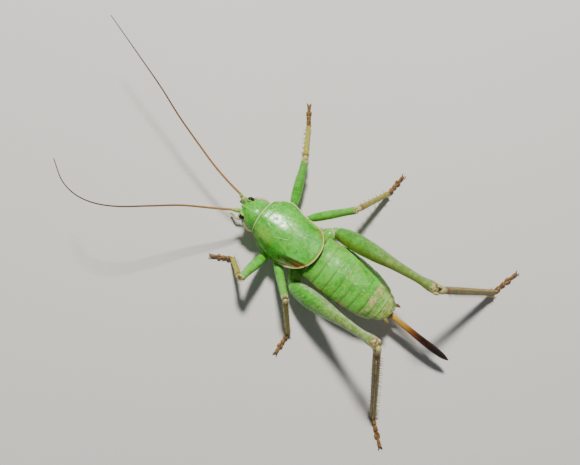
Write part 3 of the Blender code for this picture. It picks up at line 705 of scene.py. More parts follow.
arc = np.linalg.norm(np.diff(shield_grid, axis=1), axis=-1)
from_right = np.concatenate([np.zeros((shield_rows, 1)), np.cumsum(arc, 1)], 1)
edge = np.minimum(from_right, from_right[:, -1:] - from_right)
run = np.linalg.norm(np.diff(shield_grid, axis=0), axis=-1)
from_front = np.concatenate([np.zeros((1, shield_columns)), np.cumsum(run, 0)], 0)
behind = from_front[-1:] - from_front
edge = np.minimum(edge, np.minimum(from_front, behind))
plan = shield_grid[..., :2]
rim = ridge(edge, 0.13, 0.12)
gutter = ridge(edge, 0.40, 0.12)
furrow = ridge(line_distance(plan, FURROW), 0, 0.085) * (arch > 0.5)
furrow_lip = ridge(line_distance(plan + [0, -0.14], FURROW), 0, 0.12) * (arch > 0.5)
wrinkle = ridge(line_distance(plan, WRINKLE), 0, 0.10) * (arch > 0.5)
front_furrow = ridge(line_distance(plan, FRONT_FURROW), 0, 0.16) * ease(arch, 0.35, 0.6)
middle_line = ridge(plan[..., 0], 0, 0.05) * ease(plan[..., 1], 10.0, 10.8)
pits = sum(
    np.exp(-(((plan[..., 0] - x) ** 2 + (plan[..., 1] - y) ** 2) / (0.5 * size) ** 2))
    for x, y, size in PITS
)
fold_place = 0.475 - 0.10 * ease(along, 0.5, 0.97)
left_side = ease(over, -0.2, 0.2)
one_sided = 0.3 + 0.7 * left_side
fold = ridge(np.abs(over), fold_place, 0.045) * ease(along, 0.48, 0.75) * one_sided
crest = ridge(plan[..., 0], 0.15, 0.9) * ease(-plan[..., 1], -12.0, -7.5)
flange = ease(np.abs(over), fold_place, fold_place + 0.12) * ease(along, 0.6, 0.9)
shoulder = ridge(np.abs(over) - fold_place + 0.07, 0, 0.05) * ease(along, 0.4, 0.8) * one_sided
waves = 0.02 * np.sin(plan[..., 1] * 1.7 + 0.6) * np.cos(plan[..., 0] * 1.1)
grow = (
    0.10 * rim - 0.05 * gutter - 0.075 * furrow + 0.03 * furrow_lip - 0.05 * front_furrow + 0.06 * wrinkle
    - 0.03 * middle_line - 0.05 * pits - 0.14 * fold + 0.04 * shoulder + 0.05 * flange + 0.16 * crest
    + waves - SHIELD_INSET
)
shield_normals = surface_normals(shield_grid)
if shield_normals[shield_rows // 2, shield_columns // 2, 2] < 0:
    shield_normals = -shield_normals
shield_outer = shield_grid + shield_normals * grow[..., None]
drawn = SHIELD_FLARE * (1 - ease(-edge, -0.75, -0.1)) * ease(np.abs(over), 0.35, 0.75)
shield_outer[..., 0] -= np.sign(over) * drawn
shield_marks = {
    # The cream rim is painted wider on the right flank, which faces the lamp: painted light.
    "rim": np.exp(-((edge / (0.17 + 0.14 * ease(-over, 0.5, 0.9) + 0.03 * ease(along, 0.5, 0.9))) ** 4)),
    "gutter": ridge(edge, 0.40, 0.09) * (0.15 + 0.85 * ease(np.abs(over), 0.3, 0.7)),
    "rust": ridge(edge, 0.31, 0.08) * ease(along, 0.70, 0.95),
    "rear": ease(along, 0.72, 1.0) + 0 * over,
    "matt": ease(along, 0.38, 0.56) + 0 * over,
    "furrow": furrow,
    "middle": ridge(plan[..., 0], 0, 0.045) * ease(plan[..., 1], 10.0, 11.2),
    "pit": np.clip(pits, 0, 1) * (plan[..., 1] > 11),
    "fold": np.exp(-(((np.abs(over) - fold_place - 0.05) / (0.03 + 0.085 * ease(along, 0.55, 0.95))) ** 4))
    * ease(along, 0.50, 0.72) * one_sided,
    "flange": ease(over, fold_place + 0.16, fold_place + 0.26) * ease(along, 0.70, 0.80)
    * ease(-over, -0.93, -0.8),
    "flank": ease(np.abs(over), 0.30, 0.56) + 0 * along,
    "sunny": np.exp(-(((plan[..., 0] - 2.4) / 1.3) ** 2) - ((plan[..., 1] - 5.9) / 1.6) ** 2),
}
shield = make_piece("shield", *thin_plate(shield_outer + BODY, shield_marks, SHIELD_THICKNESS, 0.22))

shield_finish = Finish("shield", 0.30, flesh=0.12)
tone = green_colour(shield_finish)
# Painted shade: the flanks of the shield are painted dark olive in mottled patches.
olive_spots = shield_finish.span(shield_finish.noise(0.55, 4), 0.50, 0.66)
flank = shield_finish.sums("MULTIPLY", shield_finish.mark("flank"), olive_spots)
tone = shield_finish.mix(shield_finish.sums("MULTIPLY", flank, 0.85), tone, (0.07, 0.14, 0.014))
# Painted light: a yellow-green sunlit patch on the front of the left flank.
sunny = shield_finish.sums("MULTIPLY", shield_finish.mark("sunny"), shield_finish.patches(0.8, 0.3, 0.6))
tone = shield_finish.mix(shield_finish.sums("MULTIPLY", sunny, 0.7), tone, (0.36, 0.52, 0.07))
punctures = shield_finish.span(shield_finish.cells(0.30), 0.10, 0.22, 0.8, 0.0)
punctures = shield_finish.sums(
    "MULTIPLY", punctures, shield_finish.span(shield_finish.noise(1.2, 2), 0.40, 0.60)
)
tone = shield_finish.mix(punctures, tone, (0.03, 0.14, 0.012))
# Painted highlight: the U-shaped furrow is painted paler green.
tone = shield_finish.stained(tone, "furrow", 0.35, (0.40, 0.62, 0.18))
tone = shield_finish.stained(tone, "middle", 0.85, (0.05, 0.12, 0.015))
tone = shield_finish.stained(tone, "pit", 0.8, (0.02, 0.05, 0.01))
tone = shield_finish.stained(tone, "flange", 0.9, (0.66, 0.60, 0.36))
# Painted shade and stain: the shoulder fold is painted dark olive as shade, turning to a brown stain toward
# the rear, and is stronger on the left side.
stain = shield_finish.mix(shield_finish.mark("rear"), (0.045, 0.075, 0.010), (0.17, 0.055, 0.016))
tone = shield_finish.mix(shield_finish.mark("fold"), tone, stain)
# Painted shade: the groove just inside the rim is painted dark, most on the flanks.
tone = shield_finish.stained(tone, "gutter", 0.6, (0.09, 0.11, 0.015))
rim_tone = shield_finish.mix(shield_finish.noise(0.5, 3), (0.88, 0.90, 0.50), (0.80, 0.76, 0.34))
rim_tone = shield_finish.stained(rim_tone, "rear", 0.35, (0.80, 0.62, 0.24))
tone = shield_finish.mix(shield_finish.mark("rim"), tone, rim_tone)
tone = shield_finish.stained(tone, "rust", 0.8, (0.42, 0.17, 0.04))
relief = shield_finish.sums("ADD", shield_finish.span(shield_finish.cells(0.30), 0.05, 0.28),
                            shield_finish.sums("MULTIPLY", shield_finish.noise(0.16, 3), 1.2))
rough = shield_finish.span(shield_finish.noise(0.45, 3, 1.6), 0.3, 0.7, 0.17, 0.42)
rough = shield_finish.sums("ADD", rough, shield_finish.sums("MULTIPLY", shield_finish.mark("matt"), 0.12))
rough = shield_finish.sums("ADD", rough, shield_finish.sums("MULTIPLY", shield_finish.mark("flank"), 0.2))
shine = shield_finish.span(shield_finish.mark("flank"), 0.0, 0.8, 0.62, 0.10)
shine = shield_finish.sums(
    "MULTIPLY", shine, shield_finish.span(shield_finish.mark("matt"), 0.0, 1.0, 1.0, 0.55)
)
shield.data.materials.append(shield_finish.done(tone, relief, 0.014, rough, shine))
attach(shield, "root")
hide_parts("pronotum")

# ------------------------------------------------------------------------------------------------
# Trunk under the shield
# The thorax is a pale, firm trunk with sunk seams between the plates of its flanks. Only its
# underside and a little of its flanks show below the shield.

THORAX_SECTIONS = (
    (5.05, 1.30, 7.10, 4.40), (6.20, 2.40, 7.80, 3.30), (8.50, 2.95, 8.15, 2.95), (11.0, 3.10, 8.35, 2.95),
    (13.6, 3.05, 8.20, 3.35), (14.5, 2.85, 7.95, 3.90),
)
THORAX_SEAMS = ((7.4, 0.25), (9.2, 0.10), (11.1, 0.35), (13.0, 0.20))  # place, and lean for each mm of drop


def drawn_in(grid, share):
    """Draw every ring of a trunk toward its middle, to a share of its size."""
    middle = grid.mean(1, keepdims=True)
    middle[..., 0] = 0
    return middle + (grid - middle) * np.stack([share, 0 * share + 1, share], -1)


thorax_grid, along, angle = trunk_grid(THORAX_SECTIONS, 150, 130, -0.04)
thorax_grid = drawn_in(thorax_grid, 0.3 + 0.7 * rounded(along, THORAX_SECTIONS, 0.5) + 0 * angle)
drop = 5.5 - thorax_grid[..., 2]
seams = sum(ridge(along - place, lean * drop, 0.09) for place, lean in THORAX_SEAMS)
seams = seams * ease(np.abs(np.cos(angle)), 0.25, 0.6)
thorax_grid = drawn_in(thorax_grid, 1 - 0.04 * seams)
trunk = make_piece("trunk", *loft([(thorax_grid + BODY, {"line": seams})]))
trunk_finish = Finish("trunk", 0.4, coat=0.15, flesh=0.2)
tone = trunk_finish.mix(trunk_finish.patches(0.9, 0.4, 0.6), (0.26, 0.46, 0.10), (0.48, 0.52, 0.22))
tone = trunk_finish.mix(trunk_finish.mark("line"), tone, (0.16, 0.20, 0.05))
trunk.data.materials.append(trunk_finish.done(tone, trunk_finish.noise(0.12, 3), 0.015))
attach(trunk, "root")
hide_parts("thorax")

# ------------------------------------------------------------------------------------------------
# Head
# A smooth capsule of hard cuticle, sunk into the shield up to the cheeks, with a narrow forehead
# between the feelers, raised rims round the eyes and the roots of the feelers, and a pale hairline
# down the middle. The cheeks are stained cream and brown behind the eyes.

HEAD_TURN = radians(7)
NECK = np.array([0.0, 4.4, 6.0])
HEAD_SECTIONS = (
    (0.35, 1.15, 6.35, 3.10), (0.65, 1.72, 6.75, 2.70), (1.20, 2.40, 7.15, 2.35), (1.90, 2.84, 7.50, 2.20),
    (2.70, 3.02, 7.76, 2.30), (3.50, 2.88, 7.72, 2.80), (4.20, 2.50, 7.30, 3.40), (4.70, 1.70, 6.60, 4.10),
)
CHEEK_SPREAD, CHEEK_LEVEL = 0.10, 4.9
FACE_SLOPE, FACE_TOP = 0.22, 5.4
FOREHEAD_LINE = ((0, 2.2, 6.72), (0, 1.0, 6.62), (0, 0.35, 6.45), (0, 0.0, 6.40))
FOREHEAD_THICKNESS = ((0, 1.25), (0.4, 1.2), (0.75, 0.84), (0.92, 0.55), (1, 0.16))
EYE_CENTRE, EYE_RADII, EYE_TURN = (1.55, 0.95, 6.10), (0.52, 0.62, 0.78), radians(14)
SCAPE_ROOT, SCAPE_TIP = (0.82, 0.25, 6.15), (1.25, -0.50, 6.80)
HEAD_VOXEL = 0.06


def turned(points, angle):
    """Points turned about the upright axis."""
    x, y, z = np.moveaxis(np.asarray(points, float), -1, 0)
    return np.stack([x * np.cos(angle) - y * np.sin(angle), x * np.sin(angle) + y * np.cos(angle), z], -1)


def head_place(points):
    """From the head's own directions to the world, both in millimetres."""
    return turned(np.asarray(points, float) - NECK, HEAD_TURN) + NECK + BODY


def eye_grid(sign, radii, inward=0.0, rows=40, columns=40):
    """Rings over an eye-shaped pebble, turned as the eye is and moved toward the middle."""
    grid = turned(pebble_grid((0, 0, 0), radii, rows, columns), -EYE_TURN * sign)
    return grid + np.array([(EYE_CENTRE[0] - inward) * sign, *EYE_CENTRE[1:]])


def evaluated_mesh(piece):
    """The plain mesh that the modifiers of an object make."""
    bpy.context.view_layer.update()
    return bpy.data.meshes.new_from_object(piece.evaluated_get(bpy.context.evaluated_depsgraph_get()))


def fuse(grids, voxel, smoothing):
    """One even closed skin round several closed grids, in millimetres."""
    points, faces, uv, marks = loft([(grid, {}) for grid in grids])
    mesh = bpy.data.meshes.new("fuse")
    mesh.from_pydata(points.tolist(), [], faces)
    holder = new_object("fuse", mesh)
    wrap = holder.modifiers.new("wrap", "REMESH")
    wrap.mode, wrap.voxel_size = "VOXEL", voxel
    polish = holder.modifiers.new("polish", "SMOOTH")
    polish.factor, polish.iterations = 0.5, smoothing
    made = evaluated_mesh(holder)
    skin = np.empty(len(made.vertices) * 3)
    made.vertices.foreach_get("co", skin)
    quads = [list(face.vertices) for face in made.polygons]
    bpy.data.objects.remove(holder)
    bpy.data.meshes.remove(mesh)
    bpy.data.meshes.remove(made)
    return skin.reshape(-1, 3), quads


def front_map(points, faces):
    """UV places on a sphere round a rounded piece that faces toward the front."""
    centred = points - points.mean(0)
    corner = centred[np.concatenate([np.array(face) for face in faces])]
    around = np.arctan2(corner[:, 0], -corner[:, 1]) / (2 * pi) + 0.5
    return np.stack([around, np.arctan2(corner[:, 2], np.hypot(corner[:, 0], corner[:, 1])) / pi + 0.5], -1)


capsule, along, angle = trunk_grid(HEAD_SECTIONS, 90, 110)
capsule = drawn_in(capsule, 0.5 + 0.5 * rounded(along, HEAD_SECTIONS, 0.4) + 0 * angle)
capsule[..., 0] *= 1 + CHEEK_SPREAD * (CHEEK_LEVEL - capsule[..., 2])
capsule[..., 1] += FACE_SLOPE * np.maximum(0, FACE_TOP - capsule[..., 2])
forehead, share = hose(FOREHEAD_LINE, FOREHEAD_THICKNESS, 40, 32)
head_parts = [capsule, forehead, pebble_grid((0, 1.10, 3.55), (1.05, 0.42, 0.80))]
for sign in (1, -1):
    head_parts.append(eye_grid(sign, (0.34, 0.66, 0.78), 0.22))
    head_parts.append(pebble_grid(mirrored([(0.86, 0.38, 6.10)], sign)[0], (0.42, 0.34, 0.42)))
head_points, head_faces = fuse(head_parts, HEAD_VOXEL, 6)

x, y, z = head_points.T
side = np.abs(x)
brow = ridge(x, 0, 0.07) * ease(z, 6.2, 6.6)
face_seam = np.hypot(side - 1.05 - 0.35 * (5.0 - z) / 2.6, 0.6 * (y - 1.0))
seam = ridge(face_seam, 0, 0.10) * ease(-z, -5.4, -5.0) * (y < 2)
cheek_line = line_distance(np.stack([y, z], -1), ((1.9, 5.75), (2.5, 5.45), (3.2, 5.15)))
cheek = ease(-cheek_line, -0.40, -0.28) * (side > 1.8)
cheek_edge = ridge(cheek_line, 0.46, 0.12) * (side > 1.8)
eye_gap = np.linalg.norm((np.stack([side, y, z], -1) - EYE_CENTRE) / (np.array(EYE_RADII) + 0.12), axis=-1)
head_normal = np.stack([x, y - 2.4, z - 5], -1)
head_normal /= np.linalg.norm(head_normal, axis=-1, keepdims=True)
head_points = head_points + head_normal * (0.02 * brow - 0.05 * seam)[:, None]
head_marks = {
    "middle": brow, "line": seam, "cheek": cheek, "cheek_edge": cheek_edge,
    "eye_ring": ridge(eye_gap, 0.98, 0.10),
    "low": ease(-z, -5.2, -3.2),
}
head_piece = make_piece(
    "head_capsule", head_place(head_points), head_faces, front_map(head_points, head_faces), head_marks
)
head_finish = Finish("head", 0.28, coat=0.3, flesh=0.12, shine=0.4)
tone = green_colour(head_finish)
tone = head_finish.stained(tone, "low", 0.8, (0.40, 0.55, 0.20))
tone = head_finish.stained(tone, "middle", 0.55, (0.42, 0.66, 0.22))
tone = head_finish.stained(tone, "eye_ring", 0.5, (0.46, 0.55, 0.18))
tone = head_finish.stained(tone, "line", 0.8, (0.12, 0.16, 0.03))
tone = head_finish.stained(tone, "cheek_edge", 0.85, (0.11, 0.045, 0.012))
tone = head_finish.mix(head_finish.mark("cheek"), tone, (0.62, 0.53, 0.24))
relief = head_finish.sums(
    "ADD", head_finish.span(head_finish.cells(0.22), 0.05, 0.25), head_finish.noise(0.14, 3)
)
rough = head_finish.patches(0.4, 0.3, 0.7, 0.26, 0.46)
head_piece.data.materials.append(head_finish.done(tone, relief, 0.010, rough))
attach(head_piece, "root")
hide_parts("head")

# ------------------------------------------------------------------------------------------------
# Eyes
# Each compound eye is an egg-shaped dome of many six-sided lenses, nearly black, with a glassy
# surface. The pale ring where it meets the head is painted on the head.

LENS_HEIGHT, LENS_TOP = 0.012, 0.72  # as shares of the eye's radius and of a lens's width
FACET_LEVEL = 5  # how often the round shape is split; each time gives four times as many lenses


def flow(name, build, **sizes):
    """A node group for making shapes, with one named input for each size."""
    tree = bpy.data.node_groups.new(name, "GeometryNodeTree")
    tree.interface.new_socket("Geometry", in_out="INPUT", socket_type="NodeSocketGeometry")
    for key, value in sizes.items():
        kind = {int: "NodeSocketInt", float: "NodeSocketFloat"}.get(type(value), "NodeSocketVector")
        tree.interface.new_socket(key, in_out="INPUT", socket_type=kind).default_value = value
    tree.interface.new_socket("Geometry", in_out="OUTPUT", socket_type="NodeSocketGeometry")
    start, end = tree.nodes.new("NodeGroupInput"), tree.nodes.new("NodeGroupOutput")

    def add(kind, inputs, output=0, **settings):
        node = tree.nodes.new(kind)
        for key, value in settings.items():
            setattr(node, key, value)
        for socket, value in inputs.items():
            if isinstance(value, bpy.types.NodeSocket):
                tree.links.new(value, node.inputs[socket])
            else:
                node.inputs[socket].default_value = value
        return node.outputs[output]

    tree.links.new(build(add, start.outputs), end.inputs[0])
    return tree


def grown(name, points, edges, tree, marks=()):
    """Run a node group over points in metres, and give the plain mesh that it makes as a piece."""
    seed = bpy.data.meshes.new(name)
    seed.from_pydata(np.asarray(points).tolist(), edges, [])
    for mark, kind, values in marks:
        data = seed.attributes.new(mark, kind, "POINT").data
        data.foreach_set("vector" if kind == "FLOAT_VECTOR" else "value", np.ravel(values).astype(float))
    piece = new_object(name, seed)
    piece.modifiers.new(name, "NODES").node_group = tree
    made = evaluated_mesh(piece)
    piece.modifiers.clear()
    piece.data = above_floor(made)
    bpy.data.meshes.remove(seed)
    return piece


eye_finish = Finish("eye", 0.12, coat=0.6)
eye_tone = eye_finish.mix(eye_finish.noise(0.35, 3), (0.010, 0.009, 0.007), (0.045, 0.032, 0.012))
eye_paint = eye_finish.done(eye_tone)


def make_eye(side, sign):
    def build(add, sizes):
        ball = add("GeometryNodeMeshIcoSphere", {"Radius": 1.0, "Subdivisions": sizes["Facet Level"]})
        lenses = add("GeometryNodeDualMesh", {"Mesh": ball})
        raised = add(
            "GeometryNodeExtrudeMesh", {"Mesh": lenses, "Offset Scale": sizes["Lens Height"]}, mode="FACES"
        )
        top = raised.node.outputs["Top"]
        raised = add("GeometryNodeScaleElements", {"Geometry": raised, "Selection": top, "Scale": LENS_TOP})
        turn = add("GeometryNodeTransform", {"Geometry": raised, "Scale": sizes["Radii"]})
        aim = add("ShaderNodeCombineXYZ", {"Z": sizes["Turn"]})
        placed = add(
            "GeometryNodeTransform", {"Geometry": turn, "Rotation": aim, "Translation": sizes["Centre"]}
        )
        real = add("GeometryNodeRealizeInstances", {"Geometry": placed})
        return add("GeometryNodeSetMaterial", {"Geometry": real, "Material": eye_paint})

    centre = head_place(np.array([EYE_CENTRE[0] * sign, *EYE_CENTRE[1:]])) * MM
    sizes = {"Facet Level": FACET_LEVEL, "Lens Height": LENS_HEIGHT, "Turn": HEAD_TURN - EYE_TURN * sign}
    radii = tuple(float(r) * MM for r in EYE_RADII)
    tree = flow(f"eye_{side}", build, Radii=radii, Centre=tuple(centre.tolist()), **sizes)
    return grown(f"compound_eye_{side}", [(0, 0, 0)], [], tree)


for side, sign in SIDES:
    eye = make_eye(side, sign)
    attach(eye, "root")
    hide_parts(f"eye_{side}")

# ------------------------------------------------------------------------------------------------
# Face and mouthparts
# Under the face lie the upper lip, two dark-tipped jaws and two pairs of jointed feelers, the
# palps, all hard cuticle joined by soft skin.

LIP_GRIDS = (  # its root and the lip
    ((0, 1.0, 2.98), (0.92, 0.36, 0.30)), ((0, 0.98, 2.10), (0.86, 0.42, 0.95)),
)
JAW_LINE = ((1.05, 1.62, 3.1), (0.98, 1.52, 2.4), (0.72, 1.5, 1.6), (0.40, 1.52, 1.05))
JAW_THICKNESS = ((0, 0.7), (0.3, 1.0), (0.7, 0.8), (0.92, 0.45), (1, 0.12))
PALP_LINE = ((1.3, 1.15, 1.95), (1.75, 0.5, 1.6), (1.95, -0.2, 1.75), (1.75, -0.9, 1.35), (1.6, -1.5, 0.9))
PALP_THICKNESS, LABIAL_THICKNESS = 0.46, 0.34
LABIAL_PIECES = ((0, 0.35), (0.35, 0.65), (0.65, 1))
PALP_PIECES = ((0.0, 0.16), (0.16, 0.38), (0.38, 0.68), (0.68, 1.0))
LABIAL_LINE = ((0.55, 2.2, 1.9), (0.85, 1.75, 1.35), (0.95, 1.15, 1.1), (0.9, 0.65, 0.75))


def jointed(line, pieces, thickness, columns=20, up=(0, 0, 1)):
    """Closed grids for the joints of a limb, each a little club that is narrow at its root."""
    grids = []
    profile = ((0, 0.6), (0.06, 0.74), (0.5, 0.88), (0.86, 1.0), (0.96, 0.86), (1, 0.5))
    for start, end in pieces:
        shares = np.linspace(max(start - 0.03, 0), end, 6)
        steps = np.linspace(0, 1, len(line))
        path = np.stack([curve(np.stack([steps, np.array(line)[:, i]], 1), shares) for i in range(3)], -1)
        grids.append(hose(path, [(s, thickness * t) for s, t in profile], 26, columns, up)[0])
    return grids


lip_grids = [(head_place(pebble_grid(centre, radii, 40, 60)), {}) for centre, radii in LIP_GRIDS]
lip = make_piece("upper_lip", *loft(lip_grids))
lip_finish = Finish("lip", 0.35, coat=0.25, flesh=0.15)
lip_tone = lip_finish.mix(lip_finish.noise(0.5, 3), (0.36, 0.50, 0.16), (0.58, 0.58, 0.26))
lip.data.materials.append(lip_finish.done(lip_tone, lip_finish.noise(0.1, 3), 0.012))
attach(lip, "root")
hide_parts("labrum")

jaw_finish = Finish("jaw", 0.25, coat=0.4)
jaw_tone = jaw_finish.mix(
    jaw_finish.span(jaw_finish.mark("along"), 0.45, 0.85), (0.52, 0.36, 0.12), (0.03, 0.012, 0.006)
)
jaw_paint = jaw_finish.done(jaw_tone, jaw_finish.noise(0.12, 3), 0.012)
palp_finish = Finish("palp", 0.4, coat=0.15, flesh=0.2)
palp_tone = palp_finish.mix(palp_finish.noise(0.35, 3), (0.60, 0.56, 0.24), (0.52, 0.60, 0.26))
palp_paint = palp_finish.done(palp_tone, palp_finish.noise(0.06, 3), 0.008)
for side, sign in SIDES:
    jaw_grid, share = hose(mirrored(JAW_LINE, sign), JAW_THICKNESS, 50, 32, up=(0, 1, 0), flat=0.8)
    jaw = make_piece(f"jaw_{side}", *loft([(head_place(jaw_grid), {"along": share[:, None]})]))
    jaw.data.materials.append(jaw_paint)
    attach(jaw, "root")
    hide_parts(f"mandible_{side}")
    palp_grids = jointed(mirrored(PALP_LINE, sign), PALP_PIECES, PALP_THICKNESS)
    palp_grids += jointed(mirrored(LABIAL_LINE, sign), LABIAL_PIECES, LABIAL_THICKNESS)
    palp = make_piece(f"mouth_feelers_{side}", *loft([(head_place(grid), {}) for grid in palp_grids]))
    palp.data.materials.append(palp_paint)
    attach(palp, "root")
    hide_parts(f"palp_{side}")

# ------------------------------------------------------------------------------------------------
# Feelers
# Each feeler starts with a stout club (the scape) and a short second piece, and goes on as a
# thread of about a hundred little rings, golden tan at its root and dark brown toward its tip.

ANTENNA_PATHS = {
    "left": (
        (2.1, -0.7, 7.2), (3.8, -3.1, 8.6), (6.5, -7.0, 10.6), (9.4, -10.4, 12.1), (12.5, -14.1, 13.6),
        (14.1, -16.9, 14.6), (14.7, -19.6, 15.4), (14.2, -22.2, 16.1), (12.3, -25.1, 16.6),
    ),
    "right": (
        (-0.8, -1.1, 7.2), (-1.15, -3.7, 8.0), (-1.85, -7.0, 8.7), (-2.8, -10.2, 9.2), (-4.6, -15.8, 10.1),
        (-6.6, -21.0, 10.9), (-8.6, -27.0, 11.6), (-10.9, -34.0, 12.0),
    ),
}
ANTENNA_THICKNESS = ((0, 0.40), (0.1, 0.36), (0.3, 0.30), (0.6, 0.23), (1, 0.13))
ANTENNA_RINGS = {"left": 96, "right": 104}
SCAPE_THICKNESS = ((0, 0.5), (0.12, 0.66), (0.5, 0.84), (0.8, 0.8), (0.94, 0.56), (1, 0.3))

scape_finish = Finish("scape", 0.35, coat=0.25, flesh=0.15)
scape_tone = scape_finish.mix(scape_finish.noise(0.3, 3), (0.30, 0.52, 0.12), (0.50, 0.56, 0.20))
scape_paint = scape_finish.done(scape_tone, scape_finish.noise(0.07, 3), 0.01)
antenna_finish = Finish("antenna", 0.42, coat=0.1)
antenna_tone = antenna_finish.ramp(antenna_finish.mark("along"), (
    (0.0, (0.50, 0.29, 0.09)), (0.18, (0.38, 0.19, 0.05)), (0.45, (0.17, 0.075, 0.022)),
    (0.8, (0.05, 0.026, 0.012)),
))
antenna_tone = antenna_finish.mix(antenna_finish.mark("joint"), antenna_tone, (0.02, 0.010, 0.006))
antenna_paint = antenna_finish.done(antenna_tone)

for side, sign in SIDES:
    root, tip = (np.array(mirrored([point], sign)[0]) for point in (SCAPE_ROOT, SCAPE_TIP))
    scape_grid, share = hose([root + (tip - root) * s for s in (-0.1, 0.3, 0.65, 1)], SCAPE_THICKNESS, 40, 32)
    path = np.array(ANTENNA_PATHS[side])
    second = path[0] + BODY - (path[1] - path[0]) * 0.02
    first = head_place(tip)
    pedicel_line = [first + (second - first) * s for s in (-0.15, 0.3, 0.7, 1.1)]
    pedicel_grid, share = hose(
        pedicel_line, ((0, 0.38), (0.2, 0.52), (0.75, 0.54), (0.95, 0.42), (1, 0.2)), 24, 24
    )
    scape = make_piece(f"feeler_club_{side}", *loft([(head_place(scape_grid), {}), (pedicel_grid, {})]))
    scape.data.materials.append(scape_paint)
    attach(scape, "root")
    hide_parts(f"scape_{side}")

    rings = ANTENNA_RINGS[side]
    rows = rings * 6 + 1
    phase = np.linspace(0, rings, rows) % 1
    ripple = 1 - 0.16 * np.exp(-(((phase - 0.5 + 0.5 * (phase < 0.01)) ** 2 - 0.25) ** 2) / 0.002)
    antenna_grid, share = hose(path, ANTENNA_THICKNESS, rows, 12, ripple=ripple)
    joint = ridge(np.minimum(phase, 1 - phase), 0, 0.12)[:, None]
    antenna = make_piece(
        f"feeler_{side}", *loft([(antenna_grid + BODY, {"along": share[:, None], "joint": 0.6 * joint})])
    )
    antenna.data.materials.append(antenna_paint)
    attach(antenna, "root")
    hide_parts(*(f"antenna_{side}_{length}" for length in ("base", "middle", "tip")))

# ------------------------------------------------------------------------------------------------
# Hips
# A short, stout coxa hangs from each side of the chest, and a small ring-like trochanter carries
# the thigh. Both are pale green with whitish joint skin.

LEGS = [(pair, side) for pair in ("fore", "mid", "hind") for side in ("left", "right")]
COXA_ROOTS = {"fore": (2.2, 6.0, 3.9), "mid": (2.2, 9.6, 3.6), "hind": (2.3, 13.4, 3.8)}
COXA_THICKNESS = {"fore": 1.7, "mid": 1.7, "hind": 2.6}
COXA_PROFILE = (
    (0, 0.9), (0.3, 1.03), (0.58, 1.0), (0.72, 0.86), (0.8, 0.68), (0.88, 0.66), (0.96, 0.46), (1, 0.2)
)
HIP_CLEARANCE = 0.1
SHIN_SHORT = 0.15


def node_points(node):
    """The different points of a solid, in millimetres."""
    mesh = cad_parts[node].data
    points = np.empty(len(mesh.vertices) * 3)
    mesh.vertices.foreach_get("co", points)
    return np.unique(np.round(points.reshape(-1, 3) / MM, 5), axis=0)


def limb_ends(node):
    """The middles of the two flat ends of a long solid."""
    points = node_points(node)
    centred = points - points.mean(0)
    axis = np.linalg.svd(centred, full_matrices=False)[2][0]
    for _ in range(3):
        place = centred @ axis
        low = points[place < place.min() + 0.1].mean(0)
        high = points[place > place.max() - 0.1].mean(0)
        axis = (high - low) / np.linalg.norm(high - low)
    return low, high


def unit(vector):
    return vector / np.linalg.norm(vector)


class Leg:
    """Joints and directions of one leg, read from its solids."""

    def __init__(self, pair, side):
        self.sign = 1 if side == "left" else -1
        ends = sorted(limb_ends(f"tibia_{pair}_{side}"), key=lambda point: point[2])
        self.shin = unit(ends[0] - ends[1])
        self.knee, self.ankle = ends[1], ends[0] + self.shin * SHIN_SHORT
        thigh_ends = limb_ends(f"femur_{pair}_{side}")
        root = max(thigh_ends, key=lambda point: np.linalg.norm(point - self.knee))
        self.along = unit(self.knee - root)
        self.hip = root - self.along * HIP_CLEARANCE
        self.hinge = unit(np.cross(self.along, self.shin))
        self.back = unit(np.cross(self.hinge, self.along))
        if self.back @ self.shin > 0:
            self.back = -self.back
        self.heel = unit(np.cross(self.shin, self.hinge))
        if self.heel @ self.along < 0:
            self.heel = -self.heel
        self.outward = 1 if self.hinge[0] * self.sign > 0 else -1
        foot = node_points(f"tarsus_{pair}_{side}")
        far = np.linalg.norm((foot - self.ankle)[:, :2], axis=1)
        self.toe = foot[far > far.max() - 0.15].mean(0)
        self.toward = unit(np.array([*(self.toe - self.ankle)[:2], 0]))
        self.wide = np.array([-self.toward[1], self.toward[0], 0])


legs = {(pair, side): Leg(pair, side) for pair, side in LEGS}

coxa_finish = Finish("coxa", 0.34, coat=0.25, flesh=0.15)
tone = coxa_finish.mix(coxa_finish.patches(0.8, 0.4, 0.62), (0.11, 0.43, 0.03), (0.26, 0.56, 0.10))
tone = coxa_finish.stained(tone, "joint", 0.75, (0.56, 0.60, 0.38))
coxa_paint = coxa_finish.done(tone, coxa_finish.noise(0.1, 3), 0.012)
for (pair, side), leg in legs.items():
    root = np.array(mirrored([COXA_ROOTS[pair]], leg.sign)[0]) + BODY
    line = [root + (leg.hip - root) * share for share in (0, 0.35, 0.7, 0.95)] + [leg.hip + leg.along * 0.4]
    thickness = [(share, COXA_THICKNESS[pair] * size) for share, size in COXA_PROFILE]
    coxa_grid, share = hose(line, thickness, 60, 40)
    joint = (ridge(share, 0.8, 0.035) + 0.7 * ease(share, 0.93, 0.99))[:, None]
    coxa = make_piece(f"hip_{pair}_{side}", *loft([(coxa_grid, {"joint": joint})]))
    coxa.data.materials.append(coxa_paint)
    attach(coxa, "root")
    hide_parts(f"coxa_{pair}_{side}")
